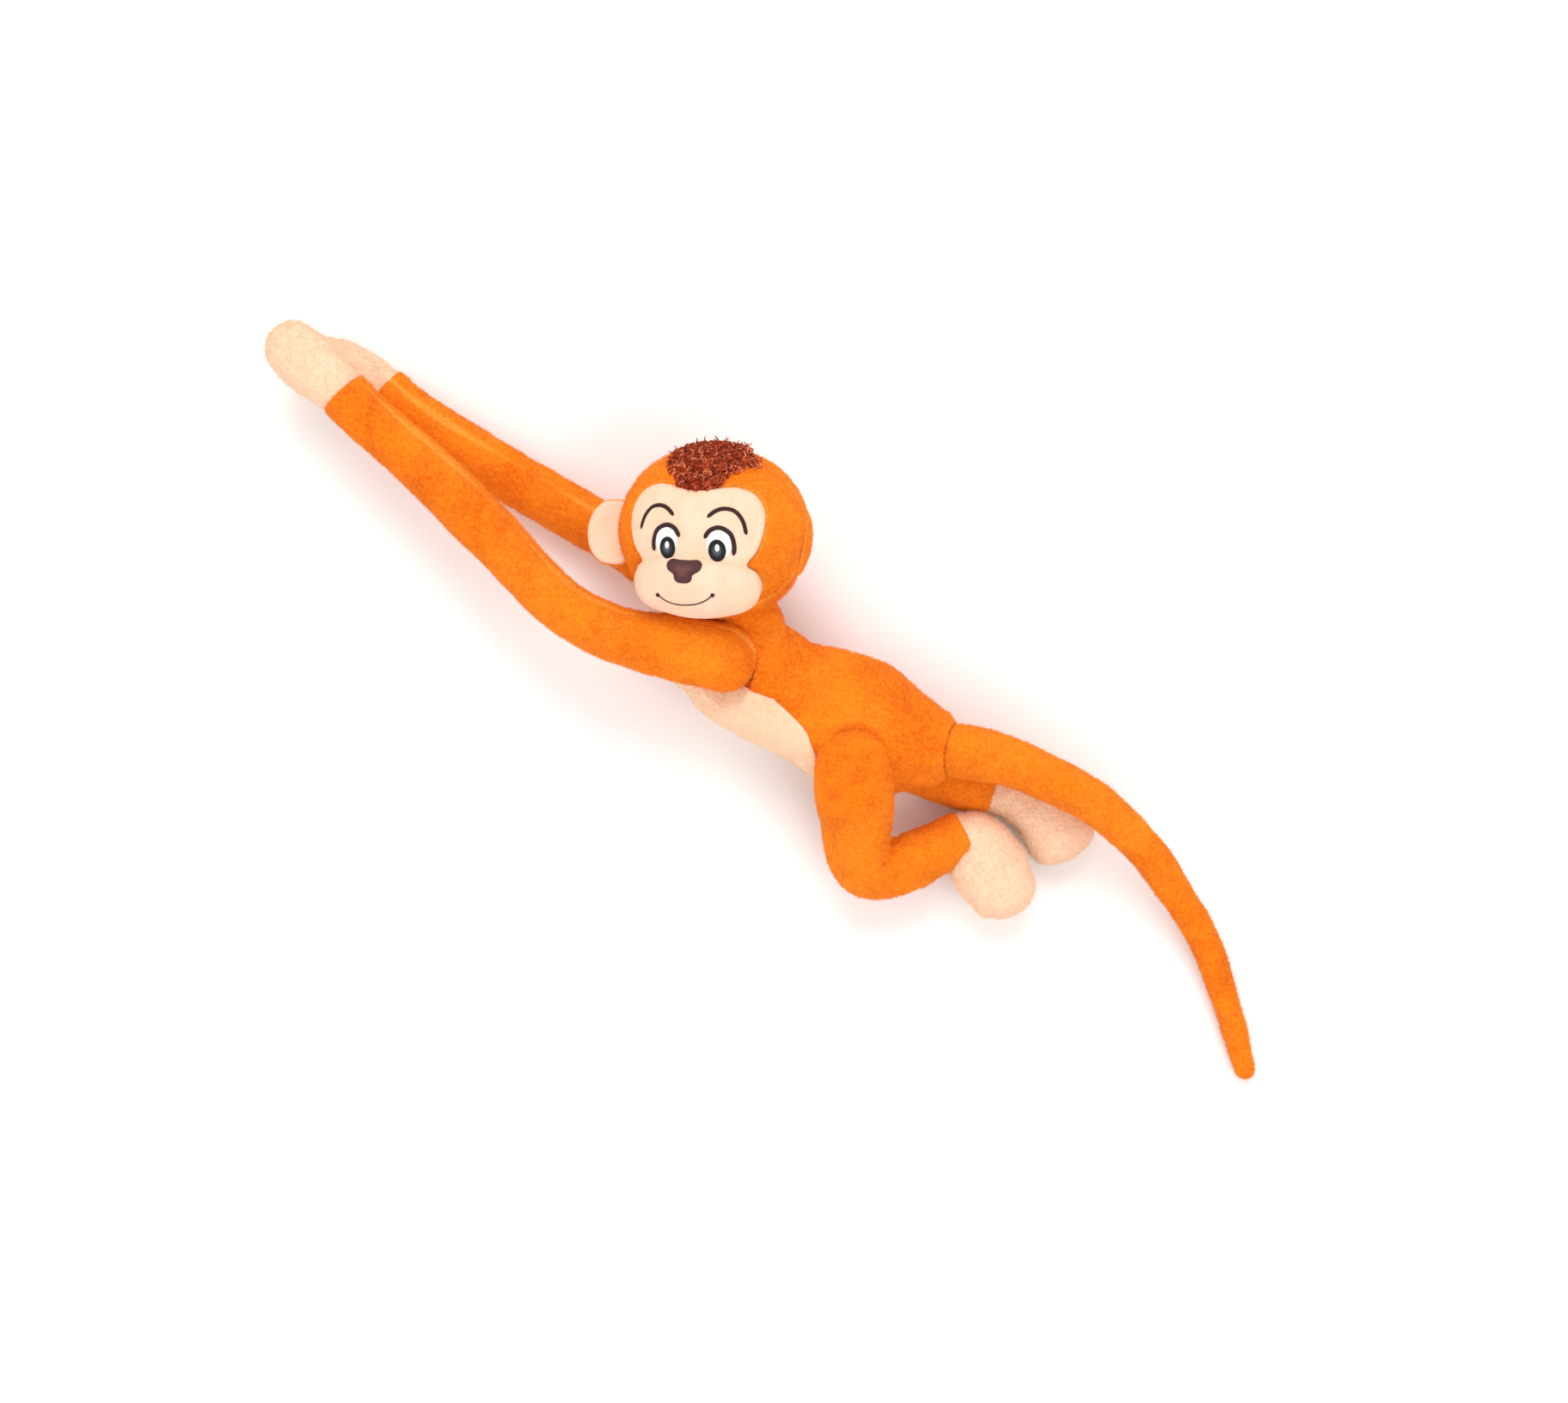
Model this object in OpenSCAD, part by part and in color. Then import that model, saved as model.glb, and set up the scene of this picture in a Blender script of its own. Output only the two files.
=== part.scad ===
// A long-armed plush monkey, lying on its right side with both arms stretched past its head.
// Millimetres. +Z is up from the surface it lies on, +X runs from the hands to the tail.

/* [Head] */
// Width of the head across the cheeks
head_w = 92; // [88:1:94]
// Height of the head from chin to crown
head_h = 82; // [78:1:84]
// Depth of the head from face to back
head_d = 76; // [72:1:78]
// How far the muzzle stands proud of the face
muzzle_bulge = 11; // [6:1:13]
// Height of one ear along its seam
ear_h = 34; // [28:1:36]

/* [Trunk] */
// Depth of the hips from side to side
hip_depth = 50; // [44:1:52]
// Depth of the chest from side to side
chest_depth = 42; // [38:1:44]

/* [Limbs] */
// Diameter of the sleeves at the elbow
sleeve_d = 26; // [22:0.5:26.5]
// Thickness of a hand
hand_t = 23; // [19:1:23]
// Diameter of the shins at the ankle
shin_d = 25; // [21:1:26]
// Thickness of a foot
foot_t = 25; // [20:1:25]
// Side of the square fastening pad on each palm
pad_side = 14; // [8:1:16]

/* [Tail] */
// Diameter of the tail where it is sewn on
tail_root_d = 26; // [22:1:27]
// Diameter of the tail's tip
tail_tip_d = 10; // [7:1:11]

/* [Hidden] */

ORANGE = [1.0, 0.52, 0.06];
CREAM = [1.0, 0.86, 0.74];
BROWN = [0.6, 0.22, 0.14];
INK = [0.1, 0.07, 0.08];

// Clearance between the pieces on each side of a joint, and between sewn layers
joint_gap = 0.6;
layer_gap = 0.3;
sides = 16;

// Resting places of the joints
neck = [-26, 10, 44];
left_shoulder = [-30, -12, 62];
right_shoulder = [-30, -8, 11.5];
left_elbow = [-110, -29, 53];
right_elbow = [-110, 13, 13];
left_wrist = [-256, 7.5, 39.2];
right_wrist = [-243, 19, 11.9];
left_hip = [52, -25, 54];
right_hip = [44, -15, 15];
left_knee = [81, -66, 31];
right_knee = [82, -10, 14];
left_ankle = [116, -29.5, 22];
right_ankle = [119, -2.5, 13.5];
tail_seam = [93, 6, 41.5];
tail_bend_1 = [136, 16.5, 40];
tail_bend_2 = [190, 12.5, 33];
tail_bend_3 = [240, -9.5, 15];

sleeve_r = sleeve_d / 2;
hand_r = hand_t / 2;
shin_r = shin_d / 2;
foot_r = foot_t / 2;
knee_r = 15.5;
thigh_r = 19;
thigh_flat_r = 14;
shoulder_r = 17;
shoulder_flat_r = 11;
tail_root_r = tail_root_d / 2;
tail_tip_r = tail_tip_d / 2;

// ---- Smooth sweeps: a station is [x, y, z, radius across, radius up]

CAP_ANGLES = [14, 36, 62];

function unit(v) = v / norm(v);
function place(s) = [s[0], s[1], s[2]];

// Points of a Catmull-Rom curve through p, with k steps between neighbours
function spline(p, k) = concat(
    [for (i = [0 : len(p) - 2], j = [0 : k - 1])
        let (t = j / k, a = p[max(i - 1, 0)], b = p[i], c = p[i + 1], d = p[min(i + 2, len(p) - 1)])
        0.5 * (2 * b + (c - a) * t + (2 * a - 5 * b + 4 * c - d) * t * t
               + (3 * b - a - 3 * c + d) * t * t * t)],
    [p[len(p) - 1]]);

// Each section is [centre, direction, radius across, radius up]
function sections(st, cap_start, cap_end) =
    let (last = len(st) - 1,
         way = [for (i = [0 : last]) unit(place(st[min(i + 1, last)]) - place(st[max(i - 1, 0)]))])
    concat(
        cap_start == 0 ? [] : [for (b = CAP_ANGLES)
            [place(st[0]) - way[0] * cap_start * cos(b), way[0], st[0][3] * sin(b), st[0][4] * sin(b)]],
        [for (i = [0 : last]) [place(st[i]), way[i], st[i][3], st[i][4]]],
        cap_end == 0 ? [] : [for (k = [len(CAP_ANGLES) - 1 : -1 : 0]) let (b = CAP_ANGLES[k])
            [place(st[last]) + way[last] * cap_end * cos(b), way[last],
             st[last][3] * sin(b), st[last][4] * sin(b)]]);

// A point of a section at angle a, where 0 is sideways and 90 is up, moved outwards by h
function on_section(s, a, h = 0) =
    let (across = unit(cross([0, 0, 1], s[1])), up = cross(s[1], across))
    s[0] + (s[2] + h) * cos(a) * across + (s[3] + h) * sin(a) * up;

// Triangles of a closed tube of rings, each with n points
function tube_faces(rings, n) = concat(
    [[for (j = [0 : n - 1]) j]],
    [for (i = [0 : rings - 2], j = [0 : n - 1]) [i * n + j, (i + 1) * n + (j + 1) % n, i * n + (j + 1) % n]],
    [for (i = [0 : rings - 2], j = [0 : n - 1]) [i * n + j, (i + 1) * n + j, (i + 1) * n + (j + 1) % n]],
    [[for (j = [n - 1 : -1 : 0]) (rings - 1) * n + j]]);

module tube(rings) {
    polyhedron(points = [for (r = rings) each r], faces = tube_faces(len(rings), len(rings[0])));
}

module stuffed(stations, cap_start, cap_end, n = sides, steps = 3) {
    s = sections(spline(stations, steps), cap_start, cap_end);
    tube([for (r = s) [for (j = [0 : n - 1]) on_section(r, 360 * j / n)]]);
}

// The last stretch before a joint stops short of it by gap
function short_of(joint, from, gap) = joint + unit(from - joint) * gap;
function station(p, across, up) = [p[0], p[1], p[2], across, up];

// ---- Trunk

torso_stations = [
    [-38, -16, 36, 18.5, 11.5], [-28, -11, 36, 26.5, 16.5], [-14, -10.5, 37, 29.5, chest_depth / 2],
    [6, -11, 37, 27.5, chest_depth / 2], [26, -8, 37.5, 30, 23], [46, -7, 38, 33, hip_depth / 2],
    [64, -4, 38, 28, hip_depth / 2 - 2], [82, 1, 38, 19, 17]];
torso_steps = 3;

// Pockets reach past the outside of the trunk, and their flats stay clear of the round limbs
pocket_sides = 12;
pocket_flat = cos(180 / pocket_sides);
pocket_reach = 90;
trunk_over = 90;
trunk_under = -5;
hip_pocket_z = 33;
shoulder_play = 1.2;

// The part of the plane that a limb of radius r sweeps round p, from direction a to direction b
module fan(p, r, a, b) {
    start = p + r * [cos(a - 90), sin(a - 90)];
    finish = p + r * [cos(b + 90), sin(b + 90)];
    polygon([start, start + pocket_reach * [cos(a), sin(a)],
             finish + pocket_reach * [cos(b), sin(b)], finish]);
}

module limb_pocket(p, r, a, b, low, high) {
    translate([0, 0, low]) linear_extrude(high - low) fan([p[0], p[1]], r, a, b);
    translate([p[0], p[1], low]) cylinder(r = r / pocket_flat, h = high - low, $fn = pocket_sides);
}

// Room for the arms and thighs over the whole of their swing
module limb_pockets() {
    limb_pocket(left_shoulder, shoulder_r + joint_gap, 185, 300,
                left_shoulder[2] - shoulder_flat_r - shoulder_play, trunk_over);
    limb_pocket(right_shoulder, shoulder_r + joint_gap, 165, 300,
                trunk_under, right_shoulder[2] + shoulder_flat_r + shoulder_play);
    limb_pocket(left_hip, thigh_r + joint_gap, 246, 330, hip_pocket_z, trunk_over);
    limb_pocket(right_hip, thigh_r, 0, 60, trunk_under, right_hip[2] + thigh_flat_r + joint_gap);
}

// A hollow that a ball of radius r turns in
module ball_pocket(p, r) {
    translate(p) sphere(r = r / (pocket_flat * pocket_flat), $fn = pocket_sides);
}

module torso_cover() {
    color(ORANGE) difference() {
        stuffed(torso_stations, 12, 12, n = 24, steps = torso_steps);
        limb_pockets();
        ball_pocket(neck, neck_r + joint_gap);
        ball_pocket(tail_seam, tail_root_r + joint_gap);
    }
}

panel_thick = 1.2;

// Cream patch down the front, widest at the chest
module belly_panel() {
    s = sections(spline(torso_stations, torso_steps), 0, 0);
    first = 2;
    last = 15;
    across = 10;
    half = [for (i = [first : last]) 6 + 58 * pow(sin(170 * (i - first + 0.6) / (last - first + 1)), 0.7)];
    low = [for (i = [first : last]) [for (j = [0 : across])
        on_section(s[i], 180 + half[i - first] * (2 * j / across - 1), layer_gap)]];
    high = [for (i = [first : last]) [for (j = [0 : across])
        on_section(s[i], 180 + half[i - first] * (2 * j / across - 1), layer_gap + panel_thick)]];
    color(CREAM) difference() {
        tube([for (i = [0 : last - first]) concat(high[i], [for (j = [across : -1 : 0]) low[i][j]])]);
        limb_pockets();
    }
}

neck_r = 5.5;

module neck_filling() {
    color(CREAM) translate(neck) sphere(r = neck_r, $fn = 48);
}

// ---- Head, in its own frame: X across the face, Y to the crown, Z out of the face

head_place = [-63, 39, 60];
head_roll = 26;
head_yaw = -17;
head_radii = [head_w / 2, head_h / 2, head_d / 2];

module on_head() {
    translate(head_place) rotate([0, 0, head_roll]) rotate([0, head_yaw, 0]) children();
}

// The point of the head's surface that lies h above the direction d
function on_skull(d, h) =
    let (q = [head_radii[0] * d[0], head_radii[1] * d[1], head_radii[2] * d[2]]) q + h * unit(q);

// Direction of the surface point in front of (x, y)
function facing(x, y) =
    let (u = x / head_radii[0], v = y / head_radii[1]) [u, v, sqrt(1 - u * u - v * v)];

// Height of the muzzle's surface over the skull in the direction d
function muzzle_rise(d) =
    let (e1 = unit(cross([0, 1, 0], muzzle_dir)), e2 = cross(muzzle_dir, e1),
         r = norm([asin(d * e1) / muzzle_wide, asin(d * e2) / muzzle_tall]))
    layer[0] + muzzle_edge + muzzle_bulge * sqrt(max(0, 1 - r * r));

// Ring of a patch round the direction c, spreading by the angles wide and tall times r
function patch_ring(c, wide, tall, r, h, n, on_muzzle = false) =
    let (e1 = unit(cross([0, 1, 0], c)), e2 = cross(c, e1))
    [for (j = [0 : n - 1])
        let (a = 360 * j / n, b = r / norm([cos(a) / wide, sin(a) / tall]),
             d = cos(b) * c + sin(b) * (cos(a) * e1 + sin(a) * e2))
        on_skull(d, h + (on_muzzle ? muzzle_rise(d) : 0))];

// A closed patch from height low up to low + thick, crowned by the amount bulge
module patch(c, wide, tall, low, thick, bulge = 0, n = 24, on_muzzle = false) {
    under = [0.15, 0.5, 0.8, 1];
    over = [1, 0.92, 0.8, 0.6, 0.38, 0.15];
    tube(concat(
        [for (r = under) patch_ring(c, wide, tall, r, low, n, on_muzzle)],
        [for (r = over) patch_ring(c, wide, tall, r, low + thick + bulge * sqrt(1 - r * r), n, on_muzzle)]));
}

// A raised line of thread through directions on the head, h above its surface or the muzzle's
module stitch_line(dirs, h, r, on_muzzle = false) {
    p = [for (d = spline(dirs, 3)) on_skull(unit(d), h + (on_muzzle ? muzzle_rise(unit(d)) : 0))];
    last = len(p) - 1;
    tube([for (i = [0 : last])
        let (t = unit(p[min(i + 1, last)] - p[max(i - 1, 0)]), e1 = unit(cross(p[i], t)), e2 = cross(t, e1))
        [for (j = [0 : 7]) p[i] + r * cos(45 * j) * e1 + r * sin(45 * j) * e2]]);
}

face_thick = 1.6;
eye_x = 12.3;
eye_y = -8;
layer = [for (i = [0 : 5]) layer_gap + face_thick + layer_gap + i * 1.1];
muzzle_dir = unit([0, -0.74, 0.67]);
muzzle_wide = 42;
muzzle_tall = 25;
muzzle_edge = 1;

module head_cover() {
    rings = 16;
    n = 28;
    color(ORANGE) on_head() tube([for (i = [1 : rings - 1]) let (b = 180 * i / rings)
        [for (j = [0 : n - 1]) let (a = 360 * j / n)
            on_skull([sin(b) * cos(a), sin(b) * sin(a), -cos(b)], 0)]]);
}

module face_panel() {
    color(CREAM) on_head() patch(unit([0, -0.25, 1]), 47, 43, layer_gap + 0.1, face_thick - 0.1, n = 32);
}

module muzzle() {
    color(CREAM) on_head() patch(muzzle_dir, muzzle_wide, muzzle_tall, layer[0], muzzle_edge,
                                 bulge = muzzle_bulge, n = 32);
}

module hair_tuft() {
    color(BROWN) on_head() patch(unit([0.03, 0.86, 0.52]), 27, 26, layer_gap, 1.5, bulge = 4.5);
}

module nose() {
    color(BROWN) on_head() patch(unit([0, -0.42, 0.91]), 11, 6.5, layer_gap, 1, bulge = 1.8, n = 20,
                                 on_muzzle = true);
}

// The smile runs over the front of the muzzle, its corners turned up
module mouth_stitch() {
    smile = [for (t = [-1 : 0.5 : 1]) facing(14 * t, -28.5 + 3 * t * t)];
    color(INK) on_head() stitch_line(smile, layer_gap + 0.6, 0.6, on_muzzle = true);
}

module eye_layer(side, width, height, x, y, level, thick) {
    on_head() patch(unit(facing(side * x, y)), width, height, level, thick, n = 20);
}

module eye_white(side) { color("white") eye_layer(side, 8.5, 10, eye_x, eye_y + 1, layer[0], 0.7); }
module pupil(side) { color(INK) eye_layer(side, 5.4, 7, eye_x, eye_y - 0.5, layer[1], 0.7); }
module glint(side) { color("white") eye_layer(side, 1.7, 2, eye_x + 0.3, eye_y + 1.6, layer[2], 0.6); }

module eyelid_stitch(side) {
    arc = [for (a = [-25 : 40 : 175]) facing(side * (eye_x + 0.8 + 7.4 * cos(a)), eye_y + 9.5 * sin(a))];
    color(INK) on_head() stitch_line(arc, layer[1] + 0.4, 0.7);
}

module brow_stitch(side) {
    arc = [for (a = [0 : 35 : 140]) facing(side * (17 + 9.3 * cos(a)), 2 + 10 * sin(a))];
    color(INK) on_head() stitch_line(arc, layer[1], 0.7);
}

// ---- Ears: half discs hinged on the seam at the side of the head

ear_t = 3;
ear_lining_t = 2;
ear_seam = [48.6, -1, 3];
ear_fold = 103;

module ear_shape(r) {
    intersection() {
        circle(r = r, $fn = 48);
        translate([1, -r]) square([r, 2 * r]);
    }
}

// Turned out sideways on the side s, with the lining facing forwards, then folded forwards
module ear_layer(s, fold, low, thick, r) {
    on_head() translate([s * ear_seam[0], ear_seam[1], ear_seam[2]]) mirror([s < 0 ? 1 : 0, 0, 0])
        rotate([0, -fold, 0]) translate([0, 0, low]) linear_extrude(thick) ear_shape(r);
}

module left_ear_back() { color(ORANGE) ear_layer(1, ear_fold, -ear_t, ear_t, ear_h / 2); }
module left_ear_lining() { color(CREAM) ear_layer(1, ear_fold, 0.1, ear_lining_t, ear_h / 2 - 2); }
module right_ear_back() { color(ORANGE) ear_layer(-1, 0, -ear_t, ear_t, ear_h / 2); }
module right_ear_lining() { color(CREAM) ear_layer(-1, 0, 0.1, ear_lining_t, ear_h / 2 - 2); }

// ---- Arms

left_elbow_end = short_of(left_elbow, [-88, -29.5, 55.5], sleeve_r + joint_gap);
left_wrist_end = short_of(left_wrist, [-242, 3.5, 39.5], hand_r + joint_gap);
right_elbow_end = short_of(right_elbow, [-90, 13, 13], sleeve_r + joint_gap);
right_wrist_end = short_of(right_wrist, [-228, 16, 13], hand_r + joint_gap);

module left_upper_arm() {
    color(ORANGE) stuffed([
        station(left_shoulder, shoulder_r, shoulder_flat_r), [-54, -20, 61.5, 16, 12.5],
        [-70, -25.5, 58.5, 14.2, 13.5], [-86, -29, 56, 13.5, 13.3],
        station(left_elbow_end, sleeve_r, sleeve_r)], shoulder_r, 0);
}

module left_forearm() {
    color(ORANGE) stuffed([
        station(left_elbow, sleeve_r, sleeve_r), [-130, -24.5, 50.5, sleeve_r, sleeve_r],
        [-154, -17, 48, 13.3, sleeve_r], [-176, -11, 45.5, 13.6, sleeve_r], [-200, -5, 43, sleeve_r, 12.5],
        [-222, -0.5, 41, 12.7, 12], station(left_wrist_end, 12, 11.5)], sleeve_r, 0, steps = 2);
}

module left_hand() {
    color(CREAM) stuffed([
        station(left_wrist, 11.5, hand_r), [-268, 9.5, 39.2, 13.5, hand_r], [-280, 11.8, 39.2, 15, hand_r],
        [-289, 13.7, 39.2, 13.8, hand_r - 0.7]], hand_r, 14);
}

module right_upper_arm() {
    color(ORANGE) stuffed([
        station(right_shoulder, 16, shoulder_flat_r), [-48, 1.5, 12, 15, 11.7], [-68, 8.5, 12.7, 13.8, 12.6],
        station(right_elbow_end, sleeve_r, sleeve_r)], 16, 0);
}

module right_forearm() {
    color(ORANGE) stuffed([
        station(right_elbow, sleeve_r, sleeve_r), [-140, 13, 13, sleeve_r, sleeve_r],
        [-176, 13.2, 13, sleeve_r, sleeve_r], [-205, 14, 13, 12.8, 12.8],
        station(right_wrist_end, 12, 12)], sleeve_r, 0);
}

module right_hand() {
    color(CREAM) stuffed([
        station(right_wrist, 11.5, hand_r), [-256, 18.5, 11.9, 13.5, hand_r], [-267, 17, 11.9, 14.5, hand_r],
        [-275, 16, 11.9, 13.3, hand_r - 0.7]], hand_r, 13);
}

// Square fastening pads where the palms meet
palm = [-267, 12];
palm_turn = -10;
pad_t = 0.9;
pad_lift = 0.1;

module palm_pad(z) {
    translate([palm[0], palm[1], z + pad_t / 2]) rotate([0, 0, palm_turn])
        cube([pad_side, pad_side, pad_t], center = true);
}

module left_palm_hooks() { color("white") palm_pad(left_wrist[2] - hand_r - pad_t - pad_lift); }
module right_palm_loops() { color("white") palm_pad(right_wrist[2] + hand_r + pad_lift); }

// ---- Legs

left_thigh_end = short_of(left_knee, left_hip, knee_r + 9);
left_shin_end = short_of(left_ankle, [109, -44, 23], 15);
right_thigh_end = short_of(right_knee, right_hip, 14 + joint_gap);
right_shin_end = short_of(right_ankle, right_knee, shin_r + joint_gap);

module left_thigh() {
    color(ORANGE) stuffed([
        station(left_hip, thigh_r, thigh_flat_r), [60, -38, 50.5, 19, 14.5],
        station(left_thigh_end, 17.5, 15)], thigh_r, 7.5);
}

module left_shin() {
    color(ORANGE) stuffed([
        station(left_knee, knee_r, knee_r), [100, -53.5, 24.5, 14.5, 14],
        station(left_shin_end, 12.8, 13)], knee_r, 0);
}

module left_foot() {
    color(CREAM) stuffed([
        [123, -25.5, 21.4, 13, 12.5], [136, -34, 21.2, 17, 13.5], [149, -42.5, 21, 15.5, 12.5]], 13, 14.5);
}

module right_thigh() {
    color(ORANGE) stuffed([
        station(right_hip, 17, thigh_flat_r), [58, -13.5, 15, 16, 14],
        station(right_thigh_end, 14.5, 14)], 17, 0);
}

module right_shin() {
    color(ORANGE) stuffed([
        station(right_knee, 13.6, 13.6), [96, -8, 13.7, 13.5, 13.3],
        station(right_shin_end, 13, 12.7)], 14, 0);
}

module right_foot() {
    color(CREAM) stuffed([
        station(right_ankle, shin_r - 1, shin_r - 1), [130, 2, 13, 12, foot_r - 0.3],
        [145, 5.5, 13, 14.5, foot_r], [158, 3, 13, 16.5, foot_r]], shin_r - 1, 14);
}

// ---- Tail

function tail_end(joint, from, r) = short_of(joint, from, r + joint_gap);

module tail_root() {
    color(ORANGE) stuffed([
        station(tail_seam, tail_root_r, tail_root_r), [106, 11, 41.5, 12.8, 12], [120, 14.5, 41, 11.8, 11.5],
        station(tail_end(tail_bend_1, [125, 15, 40.5], 11.3), 11.4, 11.3)], tail_root_r, 0);
}

module tail_middle() {
    color(ORANGE) stuffed([
        station(tail_bend_1, 11.3, 11.2), [152, 17.4, 39.4, 10.8, 10.6], [168, 17, 38, 10.3, 10.2],
        station(tail_end(tail_bend_2, [175, 16, 37], 9.4), 9.7, 9.6)], 11.3, 0);
}

module tail_lower() {
    color(ORANGE) stuffed([
        station(tail_bend_2, 9.4, 9.4), [206, 7, 28, 8.9, 8.9], [222, -0.5, 21.5, 8.4, 8.4],
        station(tail_end(tail_bend_3, [228, -3.5, 19], 7.7), 7.9, 7.9)], 9.4, 0);
}

module tail_tip() {
    color(ORANGE) stuffed([
        station(tail_bend_3, 7.7, 7.7), [255, -19.5, 10, 7.3, 7.3], [270, -32.5, 7.3, 6.7, 6.7],
        [284, -45.5, 6.3, 6, 6], [297.5, -59, 5.3, tail_tip_r, tail_tip_r]], 7.7, 5, steps = 2);
}

torso_cover();
belly_panel();
neck_filling();
head_cover();
face_panel();
muzzle();
hair_tuft();
nose();
mouth_stitch();
eye_white(1);  // left_eye_white
eye_white(-1);  // right_eye_white
pupil(1);  // left_pupil
pupil(-1);  // right_pupil
glint(1);  // left_eye_glint
glint(-1);  // right_eye_glint
eyelid_stitch(1);  // left_eyelid_stitch
eyelid_stitch(-1);  // right_eyelid_stitch
brow_stitch(1);  // left_brow_stitch
brow_stitch(-1);  // right_brow_stitch
left_ear_back();
left_ear_lining();
right_ear_back();
right_ear_lining();
left_upper_arm();
left_forearm();
left_hand();
left_palm_hooks();
right_upper_arm();
right_forearm();
right_hand();
right_palm_loops();
left_thigh();
left_shin();
left_foot();
right_thigh();
right_shin();
right_foot();
tail_root();
tail_middle();
tail_lower();
tail_tip();
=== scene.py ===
"""A long-armed plush monkey lying on its side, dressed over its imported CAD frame.

Builders work in millimetres in the shared frame, and a mesh becomes metres when it is made.
"""

import logging
import math
from dataclasses import dataclass, field
from enum import Enum
from typing import Callable, Sequence

import bpy
import numpy as np
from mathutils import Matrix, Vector

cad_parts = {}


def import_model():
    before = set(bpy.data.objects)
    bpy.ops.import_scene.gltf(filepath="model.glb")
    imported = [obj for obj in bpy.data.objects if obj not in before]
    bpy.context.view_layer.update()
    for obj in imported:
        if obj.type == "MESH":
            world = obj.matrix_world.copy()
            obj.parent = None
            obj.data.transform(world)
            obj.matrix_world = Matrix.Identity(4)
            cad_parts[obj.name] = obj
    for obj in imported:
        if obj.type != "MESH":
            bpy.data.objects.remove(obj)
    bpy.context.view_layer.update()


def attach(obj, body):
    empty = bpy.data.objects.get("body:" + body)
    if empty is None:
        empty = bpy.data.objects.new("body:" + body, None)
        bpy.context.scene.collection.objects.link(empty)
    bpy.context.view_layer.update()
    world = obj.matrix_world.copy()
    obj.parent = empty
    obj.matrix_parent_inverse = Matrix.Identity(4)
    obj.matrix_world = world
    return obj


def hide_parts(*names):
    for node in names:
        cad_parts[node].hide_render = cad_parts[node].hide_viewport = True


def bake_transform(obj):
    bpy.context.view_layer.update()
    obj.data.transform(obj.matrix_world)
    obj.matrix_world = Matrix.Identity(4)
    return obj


MM = 0.001
UP = np.array([0.0, 0.0, 1.0])
Array = np.ndarray
Stations = Sequence[tuple[float, float, float, float, float]]
Relief = Callable[[Array, Array], Array]

log = logging.getLogger("monkey")


# ---- Numbers and fields


def unit(v: Array) -> Array:
    """Vectors scaled to length one along their last axis."""
    return v / np.maximum(np.linalg.norm(v, axis=-1, keepdims=True), 1e-12)


def smooth(low: float, high: float, x: Array) -> Array:
    """Smooth step of x: 0 below low, 1 above high, 3t^2 - 2t^3 between."""
    t = np.clip((x - low) / (high - low), 0, 1)
    return t * t * (3 - 2 * t)


def noise(p: Array, size: float, seed: int = 0) -> Array:
    """Smooth value noise.

    Each corner of a lattice with cells of the given size gets a random value from -1 to 1, and a point
    takes the eight values round it, weighted by the smooth step of its place in the cell.

    Args:
        p: points, one per row.
        size: width of a lattice cell in millimetres.
        seed: picks another lattice.

    Returns:
        One value per point, from -1 to 1.
    """
    q = p / size + 17.3 * seed
    cell = np.floor(q).astype(np.int64)
    t = q - cell
    t = t * t * (3 - 2 * t)
    total = np.zeros(len(p))
    for corner in range(8):
        step = np.array([corner & 1, corner >> 1 & 1, corner >> 2 & 1])
        h = ((cell + step) * np.array([73856093, 19349663, 83492791])).sum(axis=1) + seed * 9176117
        h = (h ^ (h >> 13)) * 1274126177 & 0x7FFFFFFF
        h = (h ^ (h >> 16)) & 0xFFFF
        total += (h / 32767.5 - 1) * np.prod(np.where(step, t, 1 - t), axis=1)
    return total


def curve(rows: Array, spacing: float) -> Array:
    """Catmull-Rom curve through rows, resampled at an even spacing of its first three columns.

    Each stretch b to c is half of (2b + (c-a)t + (2a-5b+4c-d)t^2 + (3b-a-3c+d)t^3).

    Args:
        rows: points, with any further values in more columns.
        spacing: distance between samples in millimetres.

    Returns:
        The samples, with both ends kept.
    """
    rows = np.asarray(rows, float)
    padded = np.vstack([rows[:1], rows, rows[-1:]])
    t = np.linspace(0, 1, 24, endpoint=False)[:, None, None]
    a, b, c, d = padded[:-3], padded[1:-2], padded[2:-1], padded[3:]
    fine = 0.5 * (2 * b + (c - a) * t + (2 * a - 5 * b + 4 * c - d) * t**2 + (3 * b - a - 3 * c + d) * t**3)
    fine = np.vstack([fine.transpose(1, 0, 2).reshape(-1, rows.shape[1]), rows[-1:]])
    run = np.concatenate([[0], np.cumsum(np.linalg.norm(np.diff(fine[:, :3], axis=0), axis=1))])
    at = np.linspace(0, run[-1], max(2, round(run[-1] / spacing) + 1))
    return np.stack([np.interp(at, run, column) for column in fine.T], axis=1)


# ---- Meshes


class End(Enum):
    """How a sweep closes."""

    DOME = "dome"
    SOCKET = "socket"


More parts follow.
